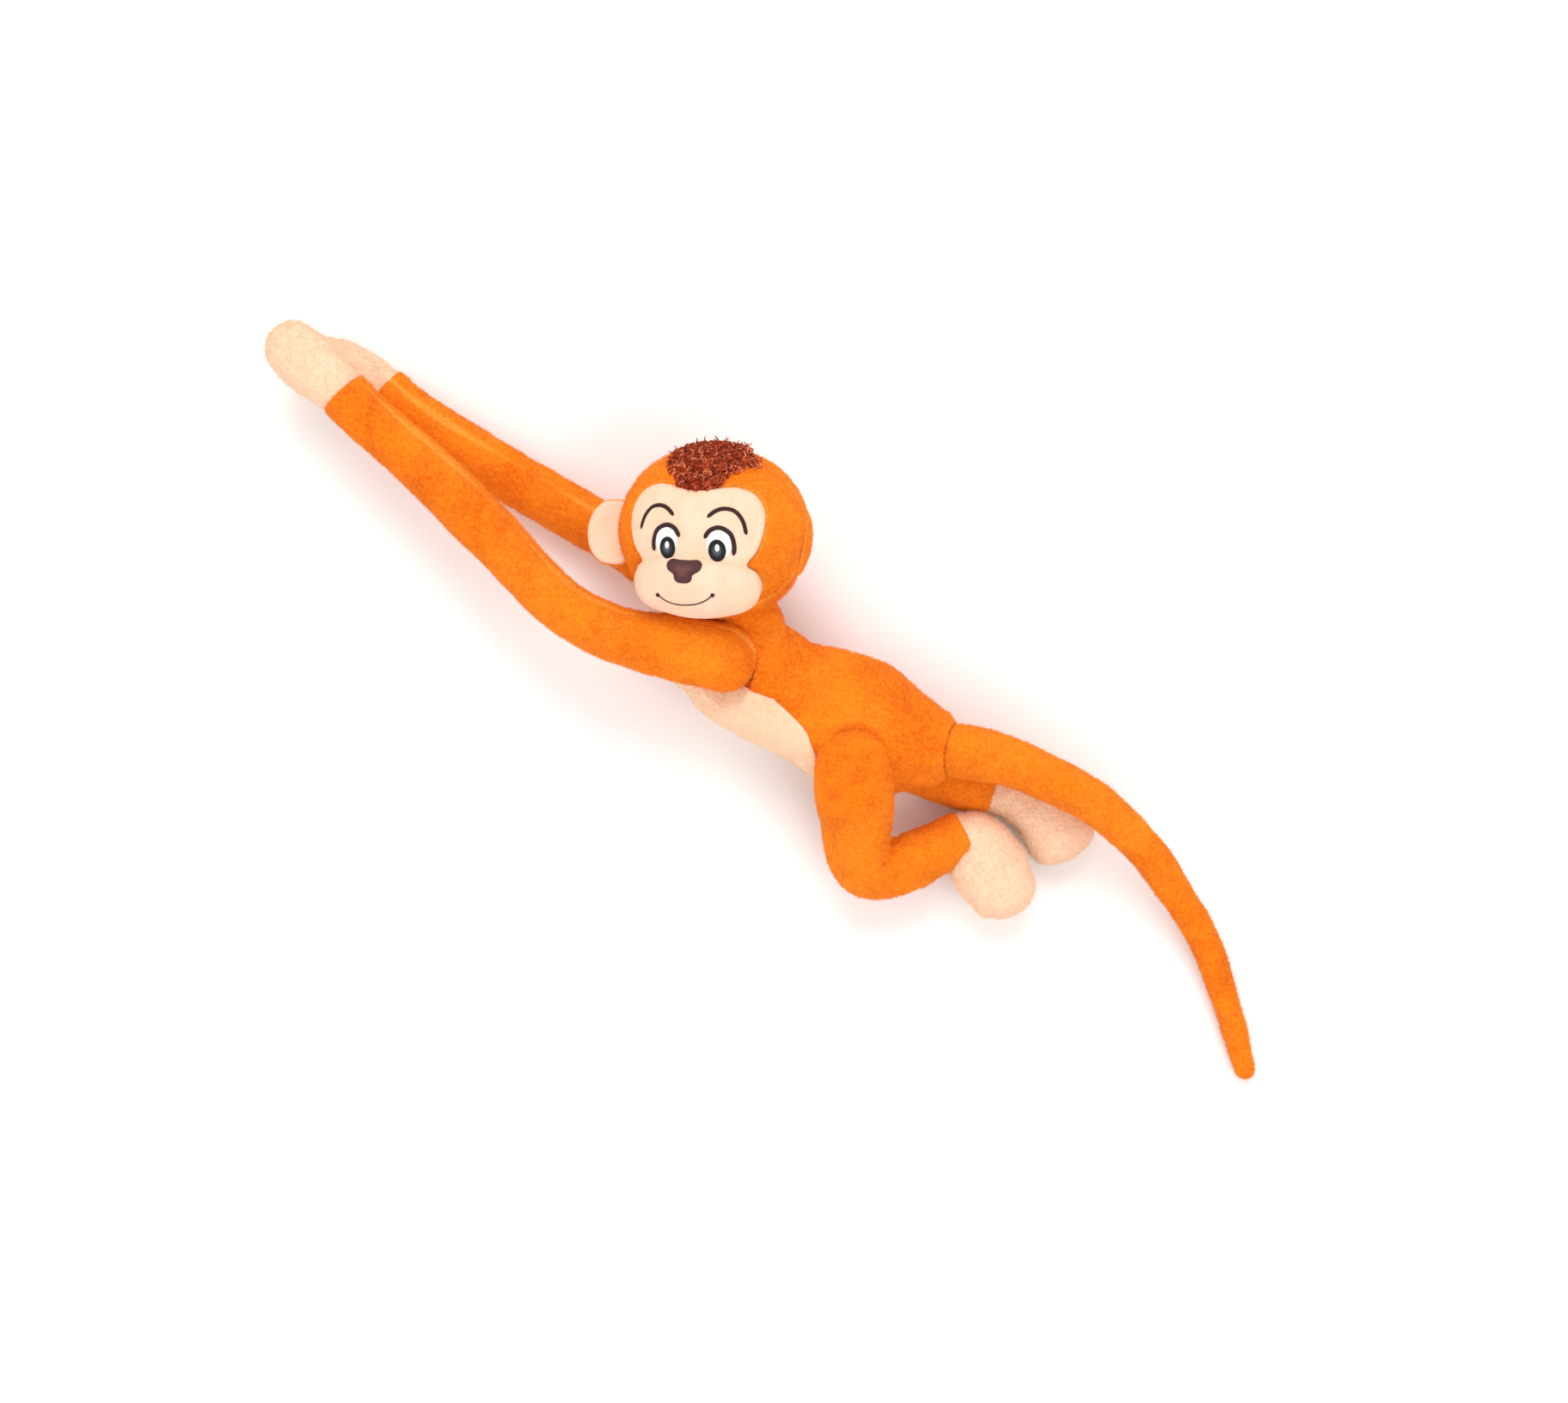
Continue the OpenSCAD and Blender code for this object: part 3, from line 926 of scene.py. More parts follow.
@dataclass(frozen=True)
class Curls:
    """Long curly pile, each curl with its own shade."""

    name: str
    deep: str
    base: str
    light: str

    def material(self) -> bpy.types.Material:
        """Base colour by curl, darker towards the curls' tips and the middle of the base.

        Returns:
            The material.
        """
        g = Graph(self.name)
        mixed = g.value("shade") * 0.8 + g.noise(1.6, 2) * 0.3
        colour = g.mix(mixed.smooth(0.15, 0.6), rgb(self.deep), rgb(self.base))
        colour = g.mix(mixed.smooth(0.6, 0.95), colour, rgb(self.light))
        colour = g.mix((1 - g.value("edge")).smooth(0.55, 1.0) * 0.5, colour, rgb(self.deep))
        return g.finish(
            Base_Color=colour,
            Roughness=0.75,
            Normal=g.bump(g.noise(0.6, 2), 0.15),
            Sheen_Weight=0.2,
            Sheen_Tint=rgb(self.light),
            Specular_IOR_Level=0.2,
        )


# Each plush's last colour paints the highlights on seams and fibre tips.
ORANGE = Plush("orange_plush", "D85804", "EE7405", "FF9E28", "FFB44E", sheen=0.4, contrast=0.72)
CREAM = Plush("cream_plush", "E9B58E", "F4CCA8", "F9DCC2", "FFE8D6", sheen=0.2, contrast=0.5)
# The face's shade colour also paints shade on the edges of the face panel and ear linings.
FACE = Velvet("cream_velvet", "F5CBAC", "E4AE8C", "FAD8C2", sheen=0.2)
HAIR = Curls("brown_long_pile", "641507", "B8401C", "F08C60")
NOSE = Thread("brown_satin_stitch", "3A1A19", "744440")
WHITE = Thread("white_satin_stitch", "F6F4F0", "E2E0DC")
# The black thread's grey accent is the painted reflection in the pupils.
BLACK = Thread("black_satin_stitch", "040506", "5A626A", gloss=0.6, streaks=0.15)
LINE = Thread("dark_thread", "240A09", "4A1E18", streaks=0.6)
TAPE = Thread("white_fastener_tape", "F4F2EE", "D9D6D0", pitch=0.9, gloss=0.6)
FILLING = Velvet("fibre_filling", "F3F1EC", "DEDBD4", "FBFAF8", sheen=0.1)


class Wardrobe:
    """Makes each finish's material once and dresses pieces with it."""

    def __init__(self) -> None:
        """Starts with no material made."""
        self.made: dict[str, bpy.types.Material] = {}

    def dress(
        self, name: str, shell: Shell, finish: Plush | Velvet | Thread | Curls, nodes: Sequence[str] = ()
    ) -> bpy.types.Object:
        """Builds a piece from its shell.

        Args:
            name: the piece's name.
            shell: its surface.
            finish: its finish.
            nodes: CAD nodes that it stands for.

        Returns:
            The object, not yet fastened to a body.
        """
        if finish.name not in self.made:
            self.made[finish.name] = finish.material()
        piece = shell.build(f"sewn_{name}", self.made[finish.name])
        if nodes:
            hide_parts(*nodes)
        log.info("%s: %d faces in %s", name, len(piece.data.polygons), finish.name)
        return piece


# ---- Head


@dataclass
class Skull:
    """The head's frame and surface: X across the face, Y to the crown, Z out of the face.

    A place on the face is given in degrees, its distance from Z times its direction round Z.
    """

    centre: tuple[float, float, float] = (-63.0, 39.0, 60.0)
    roll: float = 26.0
    yaw: float = -17.0
    radii: tuple[float, float, float] = (46.0, 41.0, 38.0)
    muzzle: tuple[float, float] = (0.0, -44.0)
    muzzle_spread: tuple[float, float] = (47.0, 25.0)
    muzzle_bulge: float = 9.0
    face_centre: tuple[float, float] = (0.0, -22.0)
    face_outline: tuple[tuple[float, float], ...] = (
        (0, 26), (12, 28), (25, 31), (38, 27.5), (45.5, 16), (46, 2), (42.5, -13), (36, -24.5), (43, -31),
        (47.5, -41), (47, -51), (41, -60), (31, -66.5), (14, -68), (0, -68),
    )  # fmt: skip

    def turned(self, local: Array) -> Array:
        """Vectors of the head's frame in the shared frame.

        Args:
            local: vectors, one per row.

        Returns:
            The vectors turned by the yaw round Y and then by the roll round Z.
        """
        a, b = math.radians(self.roll), math.radians(self.yaw)
        roll = np.array([[math.cos(a), -math.sin(a), 0], [math.sin(a), math.cos(a), 0], [0, 0, 1]])
        yaw = np.array([[math.cos(b), 0, math.sin(b)], [0, 1, 0], [-math.sin(b), 0, math.cos(b)]])
        return local @ (roll @ yaw).T

    def placed(self, local: Array) -> Array:
        """Points of the head's frame in the shared frame."""
        return np.array(self.centre) + self.turned(local)

    def direction(self, q: Array) -> Array:
        """Unit direction of a place in degrees: sin(r) along the place's direction and cos(r) along Z."""
        r = np.radians(np.linalg.norm(q, axis=1, keepdims=True))
        return np.hstack([np.sin(r) * q / np.maximum(np.degrees(r), 1e-9), np.cos(r)])

    def places(self, d: Array) -> Array:
        """Places in degrees of unit directions: the reverse of direction()."""
        r = np.degrees(np.arccos(np.clip(d[:, 2:], -1, 1)))
        return r * unit(d[:, :2])

    def outline(self, angle: Array) -> Array:
        """The face's outline, mirrored and smoothed, about the face's centre.

        Args:
            angle: angles in degrees.

        Returns:
            The outline's radius at each angle, in degrees of place.
        """
        half = np.array(self.face_outline, float)
        whole = np.vstack([half, half[-2:0:-1] * [-1, 1]])
        fine = curve(np.vstack([whole[-2:], whole, whole[:3]]), 0.5) - np.array(self.face_centre)
        turn = np.degrees(np.arctan2(fine[:, 1], fine[:, 0])) % 360
        order = np.argsort(turn)
        return np.interp(angle % 360, turn[order], np.linalg.norm(fine, axis=1)[order], period=360)

    def share(self, q: Array) -> Array:
        """Distance of places from the face's centre as a share of the outline's radius."""
        d = q - np.array(self.face_centre)
        return np.linalg.norm(d, axis=1) / self.outline(np.degrees(np.arctan2(d[:, 1], d[:, 0])))

    def bulge(self, q: Array) -> Array:
        """Height of the face over the head.

        The muzzle is bulge x (1 - r^2)^0.6 in its ellipse. Each cheek and the brow add a bell curve.

        Args:
            q: places.

        Returns:
            Heights in millimetres.
        """
        r = np.linalg.norm((q - np.array(self.muzzle)) / np.array(self.muzzle_spread), axis=1)
        main = self.muzzle_bulge * np.clip(1 - r**2, 0, 1) ** 0.6
        cheek = np.exp(-(((np.abs(q[:, 0]) - 33) / 12) ** 2) - ((q[:, 1] + 48) / 13) ** 2)
        brow = np.exp(-((q[:, 0] / 30) ** 2) - ((q[:, 1] - 12) / 12) ** 2)
        return main + 2.2 * cheek + 0.8 * brow

    def lifted(self, d: Array, lift: Array) -> Array:
        """Points in the head's frame over unit directions, lifted along the ellipsoid's normals."""
        base = d * np.array(self.radii)
        return base + unit(d / np.array(self.radii)) * lift[:, None]

    def face(self, q: Array, lift: Array) -> Array:
        """Points in the shared frame over places on the face, lifted from the panel's top."""
        return self.placed(self.lifted(self.direction(q), lift + 2.0 + self.bulge(q)))

    def over(self, xy: Array) -> Array:
        """Places whose panel point lies in front of given points, by repeated correction.

        Args:
            xy: points (x, y) of the head's frame in millimetres.

        Returns:
            Places in degrees.
        """
        q = xy * 1.3
        for _ in range(30):
            p = self.lifted(self.direction(q), 2.0 + self.bulge(q))
            q = q + 0.7 * (xy - p[:, :2]) * 1.25
        return q

    def at(self, xy: Array, lift: Array) -> Array:
        """Points in the shared frame in front of (x, y) in millimetres, lifted from the panel's top."""
        return self.face(self.over(xy), lift)


@dataclass
class Head:
    """The head's cover, face, embroidery, hair and ears."""

    skull: Skull
    wardrobe: Wardrobe
    rings: int = 168
    around: int = 288
    eye: tuple[float, float] = (12.3, -10.2)
    drift: float = 1.4

    def cover(self) -> None:
        """The orange cover: an ellipsoid with sunk seams round the face, down the back and over the sides."""
        up = np.radians(np.linspace(-88.5, 88.5, self.rings))
        turn = np.radians(np.linspace(0, 360, self.around, endpoint=False))
        flat, height = np.cos(up)[:, None], np.sin(up)[:, None] * np.ones(self.around)
        d = np.stack([flat * np.sin(turn), height, flat * np.cos(turn)], axis=-1)
        flatd = d.reshape(-1, 3)
        q = self.skull.places(flatd)
        front = flatd[:, 2] > -0.3
        border = np.where(front, (self.skull.share(q) - 1) * 45 * 0.75, 40)
        back = np.abs(flatd[:, 0]) * 46 + np.where(flatd[:, 2] < 0.2, 0, 40)
        tilt = np.abs(flatd[:, 2] * 38 - 2 - 7 * flatd[:, 1] ** 2) + np.where(flatd[:, 1] < 0.75, 0, 40)
        seam = np.exp(-((back / 1.1) ** 2)) + np.exp(-((tilt / 1.1) ** 2))
        puff = 1.4 * smooth(0, 9, border) * smooth(40, 20, border)
        lift = puff - 1.0 * np.exp(-((border / 1.5) ** 2)) - 0.9 * np.clip(seam, 0, 1)
        lift = np.where(self.skull.share(q) < 0.97, -1.2, lift)
        points = self.skull.placed(self.skull.lifted(flatd, lift)).reshape(d.shape)
        # The seams and the face's border are painted lighter by the plush finish: a painted highlight.
        seam = seam + 0.8 * np.exp(-(((border - 1) / 1.2) ** 2))
        values = {"seam": np.clip(seam, 0, 1).reshape(d.shape[:2]), "tip": np.zeros(d.shape[:2])}
        shell = shell_of(points, values).displaced(stuffing(0.35))
        local = (shell.points - np.array(self.skull.centre)) @ self.skull.turned(np.eye(3)).T
        places = self.skull.places(unit(local / np.array(self.skull.radii)))
        free = np.where((local[:, 2] > 0) & (self.skull.share(places) < 1.02), 0.0, 1.0)
        shell.with_fibres(Pile(), free, 11)
        piece = self.wardrobe.dress("head_cover", shell, ORANGE, ["head_cover"])
        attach(piece, "head")

    def face(self) -> None:
        """The cream face: one panel over the brow, eyes and muzzle, its edge turned under."""
        angle = np.linspace(0, 360, 300, endpoint=False)
        turn = np.radians(angle)
        rim = self.skull.outline(angle)[:, None] * np.stack([np.cos(turn), np.sin(turn)], 1)
        rounding = np.sin(np.radians([25, 50, 70, 84, 90]))
        r = np.concatenate([np.linspace(0.01, 0.94, 84), 0.94 + 0.06 * rounding])
        top = np.sqrt(np.clip(1 - (np.clip(r - 0.94, 0, None) / 0.06) ** 2, 0, 1))
        q = np.array(self.skull.face_centre) + r[:, None, None] * rim[None]
        flat = q.reshape(-1, 2)
        raised = np.repeat(top, len(angle))
        bulge = self.skull.bulge(flat)
        outer = (2.0 + bulge * smooth(0, 0.12, 1 - np.repeat(r, len(angle)))) * raised
        inner_r = np.array([0.985, 0.8, 0.5, 0.2, 0.01])
        inner_q = np.array(self.skull.face_centre) + inner_r[:, None, None] * rim[None]
        both = np.vstack([flat, inner_q.reshape(-1, 2)])
        lift = np.concatenate([outer - 0.4 * (1 - raised), np.full(inner_r.size * len(angle), -0.4)])
        grid = self.skull.placed(self.skull.lifted(self.skull.direction(both), lift))
        rings = len(r) + len(inner_r)
        edge = np.repeat(np.concatenate([r, inner_r])[:, None], len(angle), axis=1)
        shell = shell_of(grid.reshape(rings, len(angle), 3), {"edge": edge})
        shell.displaced(lambda p, n: 0.22 * noise(p, 11, 8) + 0.05 * noise(p, 1.3, 9))
        piece = self.wardrobe.dress("face_panel", shell, FACE, ["face_panel", "muzzle"])
        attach(piece, "head")

    def stitched(
        self,
        name: str,
        outline: Sequence[tuple[float, float]],
        thick: float,
        crown: float,
        finish: Thread,
        level: float,
        middle_accent: float = 0.0,
    ) -> None:
        """An embroidered patch on the face.

        Args:
            name: the piece's name and its CAD node.
            outline: its outline in front of the face, in millimetres.
            thick: thickness at its edge.
            crown: further height in its middle.
            finish: its thread.
            level: height of its underside over the panel.
            middle_accent: share of the thread's accent in its middle.
        """
        middle = np.mean(np.array(outline), axis=0)

        def place(xy: Array, lift: Array) -> Array:
            """The patch's point in the shared frame."""
            return self.skull.at(xy, lift + level)

        def rows(xy: Array) -> Array:
            """Rows of stitches half a millimetre apart, as a sine wave across them."""
            return 0.05 * np.sin((xy[:, 0] - middle[0]) * 2 * math.pi / 0.5)

        shell = patch(outline, place, thick, crown, 0.2, rings=16, around=120, relief=rows)
        # The accent fades in towards the middle; on the pupils it is a painted grey reflection.
        shell.values["shade"] = middle_accent * smooth(0.72, 0.1, shell.values["edge"])
        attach(self.wardrobe.dress(name, shell, finish, [name]), "head")

    def line(self, name: str, points: Sequence[tuple[float, float]], half_width: float, level: float) -> None:
        """An embroidered line on the face, as a ribbon of satin stitch.

        Args:
            name: the piece's name and its CAD node.
            points: points (x, y) in front of the face, in millimetres.
            half_width: half of its width.
            level: height of its middle over the panel.
        """
        xy = curve(np.array(points, float), 0.22)
        line = self.skull.at(xy, np.full(len(xy), level))
        normals = unit(self.skull.at(xy, np.full(len(xy), level + 1)) - line)
        shell = ribbon(line, normals, half_width, 0.35)
        shell.values["shade"] = np.zeros(len(shell.points))
        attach(self.wardrobe.dress(name, shell, LINE, [name]), "head")

    def eyes(self) -> None:
        """Both eyes: white, pupil with a grey reflection, glint, lid and brow, mirrored from the left one."""
        turn = np.radians(np.arange(0, 360, 20))

        def oval(x: float, y: float, a: float, b: float) -> list[tuple[float, float]]:
            """Outline of an oval round (x, y)."""
            return list(zip(x + a * np.cos(turn), y + b * np.sin(turn)))

        for side, word in ((1, "left"), (-1, "right")):
            x, y = side * self.eye[0] + self.drift, self.eye[1]
            white = oval(x + side * 0.8, y + 3.2, 5.9, 7.1)
            self.stitched(f"{word}_eye_white", white, 0.25, 0.2, WHITE, 0.05)
            # Painted reflection: the pupil's middle is laid grey with the thread's accent.
            self.stitched(f"{word}_pupil", oval(x, y, 4.1, 5.2), 0.25, 0.25, BLACK, 0.4, 1.0)
            self.stitched(f"{word}_eye_glint", oval(x + 0.1, y + 1.3, 1.05, 1.7), 0.2, 0.1, WHITE, 0.95)
            lid = [(19.7, -12.0), (20.0, -7.5), (18.2, -2.1), (13.3, 0.5), (8.8, -1.0), (6.2, -4.9)]
            brow = [(26.6, -1.9), (24.7, 4.3), (21.0, 8.7), (16.4, 9.8), (12.2, 8.5), (8.4, 5.1)]
            self.line(f"{word}_eyelid_stitch", [(side * a + self.drift, b) for a, b in lid], 1.1, 0.3)
            self.line(f"{word}_brow_stitch", [(side * a, b) for a, b in brow], 1.0, 0.1)

    def nose_and_mouth(self) -> None:
        """The brown nose with its lower lobe, and the smile with a knot at each end."""
        right = [(2.5, -15.7), (6.8, -15.4), (8.9, -17.5), (8.2, -20.5), (5.0, -22.8), (4.4, -25.2)]
        right += [(2.3, -26.8)]
        outline = [(x - 1.3, y) for x, y in right + [(-x, y) for x, y in reversed(right)]]
        self.stitched("nose", outline, 0.5, 1.1, NOSE, 0.0, 0.9)
        smile = [(-15.2, -33), (-11.2, -35.6), (-5.2, -37.1), (2.8, -36.7), (8.8, -34.6), (12.8, -31.6)]
        xy = curve(np.array(smile, float), 0.2)
        line = self.skull.at(xy, np.full(len(xy), 0.1))
        normals = unit(self.skull.at(xy, np.full(len(xy), 1.1)) - line)
        shell = ribbon(line, normals, 0.3, 0.25)
        knots = [ball(self.skull.at(xy[[k]], np.array([0.2]))[0], 1.0) for k in (0, -1)]
        shell = joined([shell, *knots])
        shell.values["shade"] = np.zeros(len(shell.points))
        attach(self.wardrobe.dress("mouth_stitch", shell, LINE, ["mouth_stitch"]), "head")

    def hair(self) -> None:
        """The tuft: a dark lumpy base and curls that stand on it."""
        outline = [
            (0, 25.5), (9, 26.5), (14, 30), (22, 41), (32, 49), (40, 57), (31, 68), (27, 84),
            (20, 100), (0, 106),
            (-20, 100), (-28, 84), (-29, 68), (-29, 52), (-22, 41), (-15, 32), (-9, 26.5),
        ]  # fmt: skip

        def place(q: Array, lift: Array) -> Array:
            """The tuft's point in the shared frame."""
            return self.skull.placed(self.skull.lifted(self.skull.direction(q), lift + 0.2))

        def lumps(q: Array) -> Array:
            """Height of the lumps: 0.9 x noise over 4 degrees."""
            return 0.9 * noise(np.c_[q, q[:, :1] * 0], 4, 12)

        base = patch(outline, place, 0.9, 0.9, 0.8, rings=40, around=220, relief=lumps)
        base.values["shade"] = 0.25 + 0.3 * noise(base.points, 2.2, 13)
        rng = np.random.default_rng(5)
        corners = curve(np.array(outline + outline[:1], float), 1.0)
        q = rng.uniform(corners.min(axis=0), corners.max(axis=0), (4200, 2))
        edge_turn = np.arctan2(*(corners - [0, 65]).T[::-1])
        order = np.argsort(edge_turn)
        rim = np.linalg.norm(corners - [0, 65], axis=1)
        d = q - [0, 65]
        limit = np.interp(np.arctan2(d[:, 1], d[:, 0]), edge_turn[order], rim[order], period=2 * math.pi)
        q = q[np.linalg.norm(d, axis=1) < limit * 0.99]
        curls = self.curls(q[:1500], rng)
        shell = joined([base, curls])
        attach(self.wardrobe.dress("hair_tuft", shell, HAIR, ["hair_tuft"]), "head")

    def curls(self, q: Array, rng: np.random.Generator) -> Shell:
        """Curls as tapering four-sided tubes.

        The centre line at t from 0 to 1 is root + height x t x normal + radius x (cos, sin)(phase + turns t)
        in the tangent plane, less its start, so that each curl leaves its root and winds upwards.

        Args:
            q: roots as places on the head.
            rng: source of sizes and phases.

        Returns:
            One shell of closed islands, with the values "edge" and "shade".
        """
        count, steps = len(q), 9
        root = self.skull.placed(self.skull.lifted(self.skull.direction(q), np.full(count, 0.8)))
        above = self.skull.placed(self.skull.lifted(self.skull.direction(q), np.full(count, 2.8)))
        normal = unit(above - root)
        side = unit(np.cross(normal, rng.normal(0, 1, (count, 3))))
        other = np.cross(normal, side)
        t = np.linspace(0, 1, steps)[None, :, None]
        height = rng.uniform(1.1, 3.0, (count, 1, 1)) + 2.6 * (rng.random((count, 1, 1)) < 0.03)
        radius = rng.uniform(0.8, 1.7, (count, 1, 1))
        phase, turns = rng.uniform(0, 6.3, (count, 1, 1)), rng.uniform(3.0, 7.5, (count, 1, 1))
        wind = np.cos(phase + turns * t) * side[:, None] + np.sin(phase + turns * t) * other[:, None]
        line = root[:, None] + height * t**0.8 * normal[:, None] + radius * (wind - wind[:, :1]) * 0.8
        way = unit(np.gradient(line, axis=1))
        across = unit(np.cross(way, normal[:, None] + 0.3))
        up = np.cross(way, across)
        thick = 0.55 * np.sqrt(1.02 - t)
        angle = np.radians([0, 90, 180, 270])
        cos, sin = (f(angle)[None, None, :, None] for f in (np.cos, np.sin))
        grid = line[:, :, None] + thick[..., None] * (cos * across[:, :, None] + sin * up[:, :, None])
        i, j = np.meshgrid(np.arange(steps - 1), np.arange(4), indexing="ij")
        k = (j + 1) % 4
        one = np.stack([i * 4 + j, i * 4 + k, (i + 1) * 4 + k, (i + 1) * 4 + j], axis=-1).reshape(-1, 4)
        last = 4 * (steps - 1)
        one = np.vstack([one, [[3, 2, 1, 0]], [[last, last + 1, last + 2, last + 3]]])
        quads = (one[None] + (4 * steps * np.arange(count))[:, None, None]).reshape(-1, 4)
        flip = signed_volume(grid.reshape(-1, 3), quads) < 0
        points = grid.reshape(-1, 3)
        values = {
            "edge": np.tile(np.repeat(1 - np.linspace(0, 1, steps), 4), count),
            "shade": np.repeat(rng.random(count), 4 * steps),
        }
        normals = unit(points - np.repeat(line.reshape(-1, 3), 4, axis=0))
        return Shell(points, normals, quads[:, ::-1] if flip else quads, np.zeros((0, 3), int), values)

    def ear(self, word: str, side: int, fold: float) -> None:
        """One ear: an orange back and a cream lining, cupped, on a seam down the side of the head.

        Args:
            word: left or right.
            side: 1 for the head's +X side, -1 for the other.
            fold: angle in degrees by which it lies forward.
        """
        a = math.radians(fold)
        inner = 1.0 if fold > 90 else -5.0
        tall = 13.0 if fold > 90 else 14.5
        outline = [(6, -16), (11.5, -13.4), (15.7, -7.5), (17.2, 0), (15.7, 7.5), (11.5, 13.4), (6, 16)]
        outline += [(inner, tall), (inner - 1, 0), (inner, -tall)]

        def flap(scale: float, low: float, outwards: int) -> Callable[[Array, Array], Array]:
            """A layer of the ear.

            A folded ear lies on the head: its angle round the head falls by x over the head's radius.

            Args:
                scale: size of the layer against the outline.
                low: height of the layer over the ear's middle sheet.
                outwards: 1 if a folded layer's height points away from the head, -1 if towards it.

            Returns:
                The layer's point in the shared frame for flat coordinates and a height.
            """

            def place(xy: Array, lift: Array) -> Array:
                """The ear's point, turned out at the seam and folded forward.

                Args:
                    xy: flat coordinates in millimetres.
                    lift: heights over the layer.

                Returns:
                    Points in the shared frame.
                """
                x, y = xy[:, 0] * scale, xy[:, 1] * scale
                if fold > 90:
                    turn, climb = math.radians(107) - x / 46, (y - 3) / 41
                    flat = np.cos(climb)
                    d = np.stack([side * np.sin(turn) * flat, np.sin(climb), np.cos(turn) * flat], axis=1)
                    return self.skull.placed(self.skull.lifted(d, 0.2 + 0.85 * outwards * lift))
                cup = 0.011 * (xy[:, 1] ** 2) + 0.012 * (xy[:, 0] - 6) ** 2
                z = low + lift + np.minimum(cup, 3.2)
                out = np.cos(a) * x - np.sin(a) * z
                forward = np.sin(a) * x + np.cos(a) * z
                return self.skull.placed(np.stack([side * (48.0 + out), y - 3.2, 3 + forward], axis=1))

            return place

        back = patch(outline, flap(1.0, -2.6, 1), 1.2, 1.0, 0.0, rings=34, around=150)
        # The seam value lightens the back's outline: a painted highlight along the ear's rim.
        back.values["seam"] = np.exp(-(((back.values["edge"] - 1) / 0.05) ** 2))
        back.values["tip"] = np.zeros(len(back.points))
        del back.values["edge"]
        back.displaced(stuffing(0.15, 0.15)).with_fibres(Pile(length=1.0), None, 12)
        name = f"{word}_ear_back"
        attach(self.wardrobe.dress(name, back, ORANGE, [name]), f"{word}_ear")
        lining = patch(outline, flap(0.96, -1.2, -1), 1.2, 0.5, 0.1, rings=30, around=150)
        lining.displaced(lambda p, n: 0.08 * noise(p, 3, 14))
        name = f"{word}_ear_lining"
        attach(self.wardrobe.dress(name, lining, FACE, [name]), f"{word}_ear")

    def build(self) -> None:
        """Builds every piece of the head."""
        self.cover()
        self.face()
        self.eyes()
        self.nose_and_mouth()
        self.hair()
        self.ear("left", 1, 103.0)
        self.ear("right", -1, 0.0)


# ---- Trunk


@dataclass
class Limb:
    """A sewn-on limb as the trunk feels it: joint, radii across and flat, swing in degrees, 1 on top."""

    joint: tuple[float, float, float]
    radii: tuple[float, float]
    sector: tuple[float, float]
    side: int


